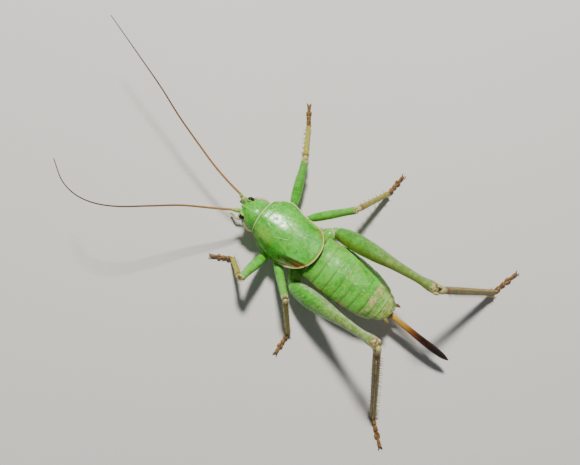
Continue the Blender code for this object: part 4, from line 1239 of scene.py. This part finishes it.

# ------------------------------------------------------------------------------------------------
# Thighs
# The hind femora are the jumping legs, swollen near the body with a herring-bone of muscle
# attachments on their outer faces, and slender toward the knee, where two rounded lobes clasp the
# shin. They are green near the body and fade to sage; the lower edge is cream. Painted shade darkens
# the right thighs and turns their inner faces sallow, and painted light makes the inner face of the
# left hind thigh pale.

FEMUR_DEPTH = {
    "fore": ((0, 1.0), (0.08, 1.5), (0.2, 1.82), (0.5, 1.88), (0.8, 1.45), (0.94, 1.42), (1, 1.2)),
    "mid": ((0, 0.95), (0.08, 1.38), (0.2, 1.6), (0.5, 1.6), (0.8, 1.35), (0.94, 1.38), (1, 1.15)),
    "hind": (
        (0, 1.9), (0.04, 2.7), (0.12, 3.4), (0.24, 3.62), (0.42, 3.05), (0.56, 2.2), (0.7, 1.7), (0.84, 1.45),
        (0.93, 1.85), (0.98, 1.72), (1, 1.4),
    ),
}
FEMUR_WIDTH_SHARE = {"fore": 0.88, "mid": 0.92, "hind": 0.8}
KNEE_OFFSET = {"fore": 0.3, "mid": 0.28, "hind": 0.4}
KNEE_SWELL = 0.2
KNEE_LOBE = {"fore": (0.48, 0.20, 0.50), "mid": (0.46, 0.19, 0.48), "hind": (0.66, 0.30, 0.64)}
CHEVRON_PITCH = 0.052  # of the length of the thigh


def tapered(share, blunt_start, blunt_end):
    """1 along a limb, rounded off to nothing at its two ends."""
    start = np.clip(share / blunt_start, 0, 1)
    end = np.clip((1 - share) / blunt_end, 0, 1)
    return np.sqrt(1 - (1 - start) ** 2) * np.sqrt(1 - (1 - end) ** 2)


def femur_grids(leg, pair):
    """The thigh and its two knee lobes, with their marks."""
    rows, columns = (220, 88) if pair == "hind" else (120, 56)
    share = (0.55 * crowded(rows) + 0.45 * np.linspace(0, 1, rows))[:, None]
    length = np.linalg.norm(leg.knee - leg.hip)
    angle = full_turn(columns)
    reach = HIP_CLEARANCE + (length - HIP_CLEARANCE) * share - 0.25 * (1 - share) + 0.12 * share
    middle = leg.hip + leg.along * reach[..., None] + leg.back * (KNEE_OFFSET[pair] * share**3)[..., None]
    depth = curve(FEMUR_DEPTH[pair], share) * tapered(share, 0.025, 0.03)
    width = depth / 2 * FEMUR_WIDTH_SHARE[pair] * (1 + KNEE_SWELL * share**2 * (pair == "hind"))
    outer = np.cos(angle) * leg.outward
    upper = np.sin(angle)
    bone = np.abs(((share - 0.28 * (np.abs(upper)) * 0.42) / CHEVRON_PITCH) % 1 - 0.5) * 2
    face = ease(outer, 0.35, 0.75) * ease(share, 0.05, 0.12) * ease(-share, -0.66, -0.5) * (pair == "hind")
    ribs = face * ease(bone, 0.45, 0.75)
    keels = ridge(upper, 1, 0.05) * 0.02 + ridge(np.abs(outer), 0.55, 0.12) * (upper < 0) * 0.04
    groove = ridge(upper, -1, 0.06) * 0.10
    bulge = 1 + (0.022 * ribs + keels - groove) * ease(depth, 0.3, 1.0)
    half = depth * np.where(upper > 0, 0.46, 0.54)
    grid = middle + leg.hinge * (width * bulge * np.cos(angle))[..., None]
    grid = grid + leg.back * (half * bulge * upper)[..., None]
    marks = {
        "along": share + 0 * angle,
        "outer": ease(outer, -0.5, 0.6) + 0 * share,
        "edge": ridge(upper, -0.80, 0.16) * ease(share, 0.08, 0.3) + 0 * angle,
        "upper": ease(upper, 0.5, 1.0) + 0 * share,
        "bone": face * (1 - ease(bone, 0.1, 0.5)),
        "knee": ease(share, 0.93, 0.975) + 0 * angle,
        "root": ease(-share, -0.045, -0.015) + 0 * angle,
    }
    grids = [(grid, marks)]
    for way in (1, -1):
        lobe = pebble_grid((0, 0, 0), KNEE_LOBE[pair], 36, 36)
        centre = leg.knee + leg.hinge * way * (0.31 * curve(FEMUR_DEPTH[pair], 0.95)) - leg.along * 0.22
        centre = centre + leg.back * KNEE_OFFSET[pair] * 0.55
        lobe = centre + lobe[..., :1] * leg.along + lobe[..., 1:2] * leg.hinge + lobe[..., 2:] * leg.back
        plain = {mark: 0.0 for mark in marks}
        grids.append((lobe, plain | {"along": 1.0, "knee": 1.0, "outer": 0.5}))
    return grids


femur_finish = Finish("thigh", 0.32, coat=0.25, flesh=0.15)
base = green_colour(femur_finish)
sage = femur_finish.mix(femur_finish.patches(0.9, 0.4, 0.62), (0.20, 0.35, 0.07), (0.33, 0.43, 0.15))
fade = femur_finish.sums("ADD", femur_finish.mark("along"), femur_finish.patches(1.2, 0.2, 0.8, -0.1, 0.1))
hind_share = femur_finish.mark("jumping")
fade = femur_finish.sums("MULTIPLY", femur_finish.span(fade, 0.25, 0.66), hind_share)
tone = femur_finish.mix(fade, base, sage)
inner = femur_finish.span(femur_finish.mark("outer"), 0.1, 0.75, 1.0, 0.0)
inner = femur_finish.sums("MULTIPLY", inner, 0.75)
# Painted light and shade on the inner faces: sallow yellow on the right legs, which stand in shade, and pale
# ash on the left hind leg, which the lamp lights.
tone = femur_finish.mix(
    femur_finish.sums("MULTIPLY", inner, femur_finish.mark("sallow_and_shaded")), tone, (0.33, 0.34, 0.035)
)
tone = femur_finish.mix(
    femur_finish.sums("MULTIPLY", inner, femur_finish.mark("ashy_and_lit")), tone, (0.46, 0.56, 0.33)
)
flecks = femur_finish.patches(0.28, 0.54, 0.66)
flecks = femur_finish.sums("MULTIPLY", flecks, femur_finish.mark("bone"))
tone = femur_finish.stained(tone, "bone", 0.6, (0.04, 0.22, 0.012))
tone = femur_finish.mix(femur_finish.sums("MULTIPLY", flecks, 0.7), tone, (0.62, 0.70, 0.40))
tone = femur_finish.stained(tone, "edge", 0.75, (0.66, 0.62, 0.36))
# Painted shade: the right middle and hind thighs are darkened all over.
tone = femur_finish.stained(tone, "sallow_and_shaded", 0.38, (0.08, 0.18, 0.02))
scales = femur_finish.span(femur_finish.cells(0.55), 0.22, 0.42)
scales = femur_finish.sums("MULTIPLY", scales, femur_finish.patches(0.8, 0.42, 0.6, 0.0, 0.5))
tone = femur_finish.mix(femur_finish.sums("MULTIPLY", scales, hind_share), tone, (0.07, 0.20, 0.02))
knee_tone = femur_finish.mix(femur_finish.patches(0.45, 0.45, 0.6), (0.56, 0.54, 0.26), (0.25, 0.11, 0.03))
tone = femur_finish.stained(tone, "knee", 0.85, knee_tone)
tone = femur_finish.stained(tone, "root", 0.6, (0.55, 0.58, 0.36))
relief = femur_finish.sums(
    "ADD", femur_finish.noise(0.16, 3), femur_finish.span(femur_finish.cells(0.2), 0.05, 0.25)
)
rough = femur_finish.patches(0.5, 0.3, 0.7, 0.26, 0.44)
femur_paint = femur_finish.done(tone, relief, 0.010, rough)
for (pair, side), leg in legs.items():
    points, faces, uv, marks = loft(femur_grids(leg, pair))
    marks["jumping"] = np.full(len(points), 1.0 if pair == "hind" else 0.25)
    # These marks carry the painted shade of the right legs and the painted light of the left hind leg.
    marks["sallow_and_shaded"] = np.full(len(points), {"fore": 0.0, "mid": 0.35, "hind": 1.0}[pair] * (side == "right"))
    marks["ashy_and_lit"] = np.full(len(points), float(pair == "hind" and side == "left"))
    femur = make_piece(f"thigh_{pair}_{side}", points, faces, uv, marks)
    femur.data.materials.append(femur_paint)
    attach(femur, "root")
    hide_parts(f"femur_{pair}_{side}")

# ------------------------------------------------------------------------------------------------
# Shins
# Slender four-cornered tubes of olive cuticle, freckled with brown, with a swollen head that
# turns between the knee lobes. The front pair has a hearing slit on each side below the knee.

TIBIA_DEPTH = {
    "fore": (
        (0, 0.55), (0.03, 0.85), (0.1, 1.1), (0.2, 1.15), (0.3, 0.88), (0.6, 0.8), (0.9, 0.8), (0.97, 0.86),
        (1, 0.6)
    ),
    "mid": ((0, 0.6), (0.03, 0.9), (0.1, 1.08), (0.3, 1.0), (0.9, 0.88), (0.97, 0.92), (1, 0.65)),
    "hind": (
        (0, 0.85), (0.02, 1.25), (0.045, 1.42), (0.08, 1.26), (0.14, 1.2), (0.4, 1.18), (0.9, 1.05),
        (0.97, 1.2), (1, 0.85)
    ),
}
EAR_PLACE, EAR_LENGTH = 0.16, 0.06


def tibia_grid(leg, pair):
    """The shin as a four-cornered tube with its marks."""
    rows, columns = (200, 48) if pair == "hind" else (130, 48)
    share = (0.5 * crowded(rows) + 0.5 * np.linspace(0, 1, rows))[:, None]
    length = np.linalg.norm(leg.ankle - leg.knee) - SHIN_SHORT
    angle = full_turn(columns)
    half = curve(TIBIA_DEPTH[pair], share) / 2 * tapered(share, 0.02, 0.012)
    square = 1 / (np.abs(np.cos(angle)) ** 3 + np.abs(np.sin(angle)) ** 3) ** (1 / 3)
    corner = 1 + (square - 1) * ease(share, 0.06, 0.16) * 0.75
    ear = np.exp(-(((share - EAR_PLACE) / EAR_LENGTH) ** 2) - (np.sin(angle) / 0.42) ** 2) * (pair == "fore")
    slit = np.exp(-(((share - EAR_PLACE) / (0.8 * EAR_LENGTH)) ** 4) - (np.sin(angle) / 0.10) ** 2)
    slit = slit * (pair == "fore")
    radius = half * corner * 0.97 * (1 + 0.10 * ear - 0.22 * slit)
    middle = leg.knee + leg.shin * (share * length)[..., None]
    grid = middle + leg.hinge * (radius * 0.92 * np.cos(angle))[..., None]
    grid = grid + leg.heel * (radius * np.sin(angle))[..., None]
    marks = {
        "along": share + 0 * angle,
        "under": ease(-np.sin(angle), 0.3, 0.9) + 0 * share,
        "corner": ease(square, 1.05, 1.12) + 0 * share,
        "slit": slit,
    }
    return grid, marks


tibia_finish = Finish("shin", 0.45, coat=0.05, flesh=0.1)
tone = tibia_finish.mix(tibia_finish.patches(0.9, 0.4, 0.6), (0.17, 0.145, 0.065), (0.26, 0.225, 0.10))
tone = tibia_finish.stained(tone, "corner", 0.6, (0.37, 0.35, 0.08))
beside = tibia_finish.span(
    tibia_finish.sums("SUBTRACT", tibia_finish.mark("corner"), 0.5), 0.0, 0.5, 1.0, 0.0
)
beside = tibia_finish.sums("MULTIPLY", beside, tibia_finish.span(tibia_finish.mark("corner"), 0.0, 0.4))
tone = tibia_finish.mix(tibia_finish.sums("MULTIPLY", beside, 0.6), tone, (0.09, 0.055, 0.02))
tone = tibia_finish.stained(tone, "yellow", 0.8, (0.42, 0.44, 0.04))
tone = tibia_finish.stained(tone, "under", 0.55, (0.28, 0.18, 0.05))
knee_share = tibia_finish.span(tibia_finish.mark("along"), 0.03, 0.10, 1.0, 0.0)
tone = tibia_finish.mix(knee_share, tone, (0.52, 0.48, 0.20))
band = tibia_finish.sums("MULTIPLY", tibia_finish.span(tibia_finish.mark("along"), 0.07, 0.10),
                         tibia_finish.span(tibia_finish.mark("along"), 0.11, 0.16, 1.0, 0.0))
tone = tibia_finish.mix(tibia_finish.sums("MULTIPLY", band, 0.8), tone, (0.20, 0.06, 0.03))
freckles = tibia_finish.span(tibia_finish.cells(0.42), 0.12, 0.24, 0.85, 0.0)
tone = tibia_finish.mix(freckles, tone, (0.10, 0.05, 0.018))
tone = tibia_finish.mix(tibia_finish.mark("slit"), tone, (0.03, 0.02, 0.01))
tone = tibia_finish.mix(
    tibia_finish.span(tibia_finish.mark("along"), 0.9, 1.0, 0.0, 0.6), tone, (0.22, 0.11, 0.04)
)
tibia_paint = tibia_finish.done(tone, tibia_finish.noise(0.10, 3), 0.014)
for (pair, side), leg in legs.items():
    grid, grid_marks = tibia_grid(leg, pair)
    points, faces, uv, marks = loft([(grid, grid_marks)])
    marks["yellow"] = np.full(len(points), {"fore": 1.0, "mid": 0.5, "hind": 0.0}[pair])
    tibia = make_piece(f"shin_{pair}_{side}", points, faces, uv, marks)
    tibia.data.materials.append(tibia_paint)
    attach(tibia, "root")
    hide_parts(f"tibia_{pair}_{side}")

# ------------------------------------------------------------------------------------------------
# Feet
# Four short joints with soft pads below: the third is split in two round lobes, and the last is a
# slender club with a pair of hooked claws. The pads press flat on the ground.

FOOT_JOINTS = (  # start and end as shares of the foot, half width and height
    (-0.02, 0.27, 0.40, 0.80), (0.24, 0.46, 0.39, 0.62), (0.62, 0.93, 0.30, 0.56),
)
LOBE_JOINT = (0.42, 0.66, 0.27, 0.52)
LOBE_SPREAD = 0.22  # from the middle of the foot to each round lobe
CLAW_HOOK = ((0, 0, 0.34), (0.22, 0.14, 0.42), (0.45, 0.26, 0.36), (0.56, 0.30, 0.16))  # ahead, aside, height
CLAW_LENGTH, CLAW_STRETCH = 0.75, 1.2
CLAW_THICKNESS = ((0, 0.22), (0.5, 0.16), (0.85, 0.08), (1, 0.02))


def joint_grid(leg, length, start, end, half_width, height, shift=0.0):
    """One joint of the foot: a club with a flat sole, narrow where it starts."""
    share = crowded(40)[:, None]
    angle = full_turn(32)
    swell = curve(((0, 0.55), (0.2, 0.72), (0.75, 1.0), (1, 0.85)), share) * tapered(share, 0.10, 0.16)
    middle = leg.ankle * [1, 1, 0] + leg.toward * ((start + (end - start) * share) * length)[..., None]
    middle = middle + leg.wide * (shift * ease(share, 0, 0.6))[..., None]
    across = half_width * swell * np.cos(angle)
    rise = height / 2 + (height / 2 + 0.10) * swell * np.sin(angle)
    return middle + leg.wide * across[..., None] + np.array([0, 0, 1]) * np.maximum(rise, 0)[..., None]


foot_finish = Finish("foot", 0.42, coat=0.12, flesh=0.1)
tone = foot_finish.mix(foot_finish.patches(0.45, 0.42, 0.6), (0.28, 0.16, 0.05), (0.15, 0.068, 0.022))
foot_paint = foot_finish.done(tone, foot_finish.noise(0.08, 3), 0.016)
claw_finish = Finish("claw", 0.25, coat=0.3)
claw_paint = claw_finish.done(
    claw_finish.mix(claw_finish.noise(0.3), (0.10, 0.04, 0.012), (0.03, 0.012, 0.006))
)
for (pair, side), leg in legs.items():
    length = np.linalg.norm((leg.toe - leg.ankle)[:2])
    grids = [(joint_grid(leg, length, *joint), {}) for joint in FOOT_JOINTS]
    grids += [(joint_grid(leg, length, *LOBE_JOINT, LOBE_SPREAD * way), {}) for way in (1, -1)]
    foot = make_piece(f"foot_{pair}_{side}", *loft(grids))
    foot.data.materials.append(foot_paint)
    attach(foot, "root")
    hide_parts(f"tarsus_{pair}_{side}")
    claws = []
    for way in (1, -1):
        root = leg.ankle * [1, 1, 0] + leg.toward * (0.90 * length) + leg.wide * 0.10 * way
        line = [
            root + (leg.toward * a + leg.wide * b * way) * CLAW_LENGTH * CLAW_STRETCH + np.array([0, 0, h])
            for a, b, h in CLAW_HOOK
        ]
        claws.append((hose(line, CLAW_THICKNESS, 24, 12, up=leg.wide)[0], {}))
    claw = make_piece(f"claws_{pair}_{side}", *loft(claws))
    claw.data.materials.append(claw_paint)
    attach(claw, "root")

# ------------------------------------------------------------------------------------------------
# Spines of the shins
# Stiff pointed spines of hard cuticle stand in rows along the four corners of every shin, pale
# gold with dark tips: long ones under the front and middle shins, many short ones along the upper
# edges of the hind shins, and a crown of spurs round the end of each.

SPINE_ROWS = {  # first and last place on the shin, how many, corner in degrees, length, lean to the foot
    "fore": (
        (0.24, 0.92, 6, 225, 0.85, 0.45), (0.24, 0.92, 6, 315, 0.85, 0.45), (0.35, 0.90, 3, 50, 0.5, 0.6)
    ),
    "mid": (
        (0.20, 0.92, 7, 225, 0.80, 0.55), (0.20, 0.92, 7, 315, 0.80, 0.55),
        (0.22, 0.85, 4, 130, 0.62, 0.7), (0.30, 0.80, 3, 50, 0.55, 0.7),
    ),
    "hind": (
        (0.15, 0.95, 24, 138, 0.80, 0.62), (0.15, 0.95, 25, 42, 0.80, 0.62),
        (0.30, 0.93, 12, 225, 0.45, 0.9), (0.30, 0.93, 12, 315, 0.45, 0.9),
    ),
}
SPUR_LENGTH = {"fore": 0.55, "mid": 0.6, "hind": 0.85}
SPUR_PLACE, SPUR_LEAN, SPUR_CORNERS = 0.975, 1.3, (45, 135, 225, 315)
SPINE_RADIUS = 0.066
SPINE_SIZE = 0.6  # the length of the spine that has that radius

spine_finish = Finish("spine", 0.32, coat=0.3)
spine_tone = spine_finish.ramp(spine_finish.mark("tip"), (
    (0.0, (0.36, 0.28, 0.09)), (0.4, (0.48, 0.33, 0.10)), (0.62, (0.22, 0.10, 0.03)),
    (0.85, (0.03, 0.014, 0.008)),
))
spine_paint = spine_finish.done(spine_tone)


def spine_flow(name, paint, radius, sides):
    """Stand a slender cone on every point, along its own aim and as long as its own size."""

    def build(add, sizes):
        cone = add("GeometryNodeMeshCone", {
            "Vertices": sizes["Sides"], "Side Segments": 4, "Radius Top": 0.0,
            "Radius Bottom": sizes["Radius"],
            "Depth": 1.0,
        })
        rise = add("ShaderNodeSeparateXYZ", {"Vector": add("GeometryNodeInputPosition", {})}, 2)
        cone = add(
            "GeometryNodeStoreNamedAttribute", {"Geometry": cone, "Name": "tip", "Value": rise},
            domain="POINT"
        )
        aim = add("GeometryNodeInputNamedAttribute", {"Name": "aim"}, data_type="FLOAT_VECTOR")
        size = add("GeometryNodeInputNamedAttribute", {"Name": "size"})
        turn = add("FunctionNodeAlignRotationToVector", {"Vector": aim}, axis="Z")
        scale = add("ShaderNodeCombineXYZ", {"X": size, "Y": size, "Z": size})
        shapes = {"Points": sizes["Geometry"], "Instance": cone, "Rotation": turn, "Scale": scale}
        real = add("GeometryNodeRealizeInstances", {"Geometry": add("GeometryNodeInstanceOnPoints", shapes)})
        smooth = add("GeometryNodeSetShadeSmooth", {"Geometry": real})
        return add("GeometryNodeSetMaterial", {"Geometry": smooth, "Material": paint})

    return flow(name, build, Radius=radius, Sides=sides)


spine_tree = spine_flow("spines", spine_paint, SPINE_RADIUS / SPINE_SIZE, 8)
spine_dice = np.random.default_rng(7)
for (pair, side), leg in legs.items():
    length = np.linalg.norm(leg.ankle - leg.knee) - SHIN_SHORT
    roots, aims, sizes = [], [], []
    spurs = [(SPUR_PLACE, SPUR_PLACE, 1, corner, SPUR_LENGTH[pair], SPUR_LEAN) for corner in SPUR_CORNERS]
    for first, last, count, corner, size, lean in [*SPINE_ROWS[pair], *spurs]:
        outward = leg.hinge * np.cos(radians(corner)) + leg.heel * np.sin(radians(corner))
        for share in np.linspace(first, last, count):
            share += spine_dice.uniform(-0.006, 0.006) * (count > 1)
            half = curve(TIBIA_DEPTH[pair], share) / 2
            roots.append(leg.knee + leg.shin * share * length + outward * half * 0.95)
            aims.append(unit(outward + leg.shin * lean + 0.08 * spine_dice.normal(size=3)))
            sizes.append(size * spine_dice.uniform(0.88, 1.08))
    spine_marks = (("aim", "FLOAT_VECTOR", aims), ("size", "FLOAT", np.array(sizes) * MM))
    spines = grown(f"spines_{pair}_{side}", np.array(roots) * MM, [], spine_tree, spine_marks)
    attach(spines, "root")

# ------------------------------------------------------------------------------------------------
# Bristles
# Short stiff hairs stand on the shins, feet, thighs, tail feelers and mouth feelers, all leaning
# toward the tip of the limb. They are finest on the thighs.

BRISTLES = {  # hairs for each square millimetre, and their length
    "thigh": (6.0, 0.13), "shin": (16.0, 0.20), "foot": (30.0, 0.17), "tail_feeler": (45.0, 0.30),
    "mouth_feelers": (30.0, 0.13), "hip": (8.0, 0.16),
}
BRISTLE_RADIUS, BRISTLE_LEAN = 0.055, 1.1  # as shares of a bristle's length
BRISTLE_SHORTEST, BRISTLE_LONGEST = 0.7, 1.25  # as shares of the length above
BRISTLE_PATCH = 0.003  # each bristle takes so much of the skin's UV place

bristle_finish = Finish("bristle", 0.45)
bristle_paint = bristle_finish.done(
    bristle_finish.mix(bristle_finish.mark("tip"), (0.36, 0.31, 0.10), (0.12, 0.06, 0.02))
)


def bristle_flow(paint):
    """Scatter thin cones over a skin, leaning along its own direction of growth."""

    def build(add, sizes):
        place = add("GeometryNodeInputNamedAttribute", {"Name": "UVMap"}, data_type="FLOAT_VECTOR")
        kept = {"Geometry": sizes["Geometry"], "Name": "root_place", "Value": place}
        skin = add("GeometryNodeStoreNamedAttribute", kept, data_type="FLOAT_VECTOR", domain="CORNER")
        spread = {"Mesh": skin, "Density": sizes["Density"], "Seed": sizes["Seed"]}
        points = add("GeometryNodeDistributePointsOnFaces", spread)
        normal = points.node.outputs["Normal"]
        way = add("GeometryNodeInputNamedAttribute", {"Name": "growth"}, data_type="FLOAT_VECTOR")
        lean = add("ShaderNodeVectorMath", {0: way, "Scale": sizes["Lean"]}, operation="SCALE")
        aim = add("ShaderNodeVectorMath", {0: normal, 1: lean}, operation="ADD")
        turn = add("FunctionNodeAlignRotationToVector", {"Vector": aim}, axis="Z")
        cone = add("GeometryNodeMeshCone", {
            "Vertices": 3, "Side Segments": 2, "Radius Top": 0.0, "Radius Bottom": BRISTLE_RADIUS,
            "Depth": 1.0,
        })
        rise = add("ShaderNodeSeparateXYZ", {"Vector": add("GeometryNodeInputPosition", {})}, 2)
        cone = add(
            "GeometryNodeStoreNamedAttribute", {"Geometry": cone, "Name": "tip", "Value": rise},
            domain="POINT"
        )
        low = add("ShaderNodeMath", {0: sizes["Length"], 1: BRISTLE_SHORTEST}, operation="MULTIPLY")
        high = add("ShaderNodeMath", {0: sizes["Length"], 1: BRISTLE_LONGEST}, operation="MULTIPLY")
        size = add("FunctionNodeRandomValue", {2: low, 3: high, "Seed": sizes["Seed"]}, 1, data_type="FLOAT")
        shapes = {"Points": points, "Instance": cone, "Rotation": turn, "Scale": size}
        real = add("GeometryNodeRealizeInstances", {"Geometry": add("GeometryNodeInstanceOnPoints", shapes)})
        root = add("GeometryNodeInputNamedAttribute", {"Name": "root_place"}, data_type="FLOAT_VECTOR")
        tip = add("GeometryNodeInputNamedAttribute", {"Name": "tip"})
        patch = add("ShaderNodeMath", {0: tip, 1: BRISTLE_PATCH}, operation="MULTIPLY")
        shift = add("ShaderNodeCombineXYZ", {"X": patch, "Y": patch})
        spot = add("ShaderNodeVectorMath", {0: root, 1: shift}, operation="ADD")
        baked = add("GeometryNodeStoreNamedAttribute", {"Geometry": real, "Name": "OFBake", "Value": spot},
                    data_type="FLOAT2", domain="CORNER")
        return add("GeometryNodeSetMaterial", {"Geometry": baked, "Material": paint})

    return flow("bristles", build, Density=1.0, Length=0.2 * MM, Lean=BRISTLE_LEAN, Seed=3)


def grow_bristles(skin, way, density, length, seed, tree):
    """A piece of bristles for one limb, from a copy of its skin."""
    mesh = skin.data.copy()
    growth_ways = mesh.attributes.new("growth", "FLOAT_VECTOR", "POINT").data
    growth_ways.foreach_set("vector", np.tile(way, len(mesh.vertices)))
    piece = new_object(f"bristles_{skin.name}", mesh)
    growth = piece.modifiers.new("growth", "NODES")
    growth.node_group = tree
    sockets = {item.name: item.identifier for item in tree.interface.items_tree if item.in_out == "INPUT"}
    growth[sockets["Density"]] = density / MM**2
    growth[sockets["Length"]] = length * MM
    growth[sockets["Seed"]] = seed
    made = evaluated_mesh(piece)
    piece.modifiers.clear()
    piece.data = above_floor(made)
    bpy.data.meshes.remove(mesh)
    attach(piece, "root")
    return piece


bristle_tree = bristle_flow(bristle_paint)
seed = 0
for (pair, side), leg in legs.items():
    for kind, way, slot in (("hip", leg.along, "pale_green"), ("thigh", leg.along, "green_leg"),
                            ("shin", leg.shin, "olive_leg"), ("foot", leg.toward, "foot")):
        seed += 1
        skin = bpy.data.objects[f"{kind}_{pair}_{side}"]
        grow_bristles(skin, way, *BRISTLES[kind], seed, bristle_tree)
for side in ("left", "right"):
    for kind, way in (("tail_feeler", (0, 1.0, 0)), ("mouth_feelers", (0, -0.8, -0.6))):
        seed += 1
        skin = bpy.data.objects[f"{kind}_{side}"]
        grow_bristles(skin, way, *BRISTLES[kind], seed, bristle_tree)

# ------------------------------------------------------------------------------------------------
# Floor, light and camera
# A plain pale floor under a soft bright sky, with one broad lamp high at the animal's right front.
# The camera looks down on the back, as one would on an insect on the ground.

FLOOR_SIZE = 1.2
LAMP_TOWARD = (-0.80, -0.60)
LAMP_HEIGHT = radians(57)
LAMP_AWAY = 400
LAMP_SIZE, LAMP_POWER, LAMP_COLOUR = 45, 2.45, (1.0, 0.965, 0.90)
LAMP_AIM = (0, 12, 5)
SKY_COLOUR, SKY_STRENGTH = (0.86, 0.92, 1.0, 1), 0.125
FLOOR_GAP = 0.02  # the floor lies this far under the soles
CAMERA_PLACE = (7.86, 12.94, 112.09)
CAMERA_AIM = (-1.1351, 8.8864, 0.0)
PICTURE_TOP = (-0.8021, -0.5969, 0.0)
LENS = 40.34

floor_mesh = bpy.data.meshes.new("floor")
half = FLOOR_SIZE / 2
floor_corners = [(-half, -half, 0), (half, -half, 0), (half, half, 0), (-half, half, 0)]
floor_mesh.from_pydata(floor_corners, [], [(0, 1, 2, 3)])
floor = new_object("floor", floor_mesh)
floor.location.z = -FLOOR_GAP * MM
floor_finish = Finish("floor", 0.8)
floor_tone = floor_finish.mix(floor_finish.noise(40, 2), (0.74, 0.725, 0.70), (0.78, 0.765, 0.74))
floor_mesh.materials.append(floor_finish.done(floor_tone))
floor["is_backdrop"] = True

sky = bpy.data.worlds.new("sky")
sky.use_nodes = True
sky.node_tree.nodes["Background"].inputs["Color"].default_value = SKY_COLOUR
sky.node_tree.nodes["Background"].inputs["Strength"].default_value = SKY_STRENGTH
bpy.context.scene.world = sky


def add_lamp(name, toward, height, away, size, power, colour):
    """A square lamp that looks at the middle of the insect from so far away, in millimetres."""
    lamp = bpy.data.lights.new(name, "AREA")
    lamp.size = size * MM
    lamp.energy = power
    lamp.color = colour
    holder = new_object(name, lamp)
    flat = Vector((*toward, 0)).normalized() * np.cos(height)
    way = Vector((flat.x, flat.y, np.sin(height)))
    holder.location = (Vector(BODY) + Vector(LAMP_AIM) + way * away) * MM
    holder.rotation_euler = way.to_track_quat("Z", "Y").to_euler()


add_lamp("key_lamp", LAMP_TOWARD, LAMP_HEIGHT, LAMP_AWAY, LAMP_SIZE, LAMP_POWER, LAMP_COLOUR)

camera_data = bpy.data.cameras.new("camera")
camera_data.lens = LENS
camera_data.clip_start, camera_data.clip_end = 1 * MM, 5.0
camera = new_object("camera", camera_data)
camera_back = (Vector(CAMERA_PLACE) - Vector(CAMERA_AIM)).normalized()
camera_up = Vector(PICTURE_TOP)
camera_up = (camera_up - camera_back * camera_up.dot(camera_back)).normalized()
turn = Matrix((camera_up.cross(camera_back), camera_up, camera_back)).transposed().to_4x4()
camera.matrix_world = Matrix.Translation((Vector(BODY) + Vector(CAMERA_PLACE)) * MM) @ turn
bpy.context.scene.camera = camera

# ------------------------------------------------------------------------------------------------
# Sizes of the solids and of the finished model

model_low, model_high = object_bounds()
sizes = {"cad": [list(cad_low), list(cad_high)], "visual": [list(model_low), list(model_high)]}
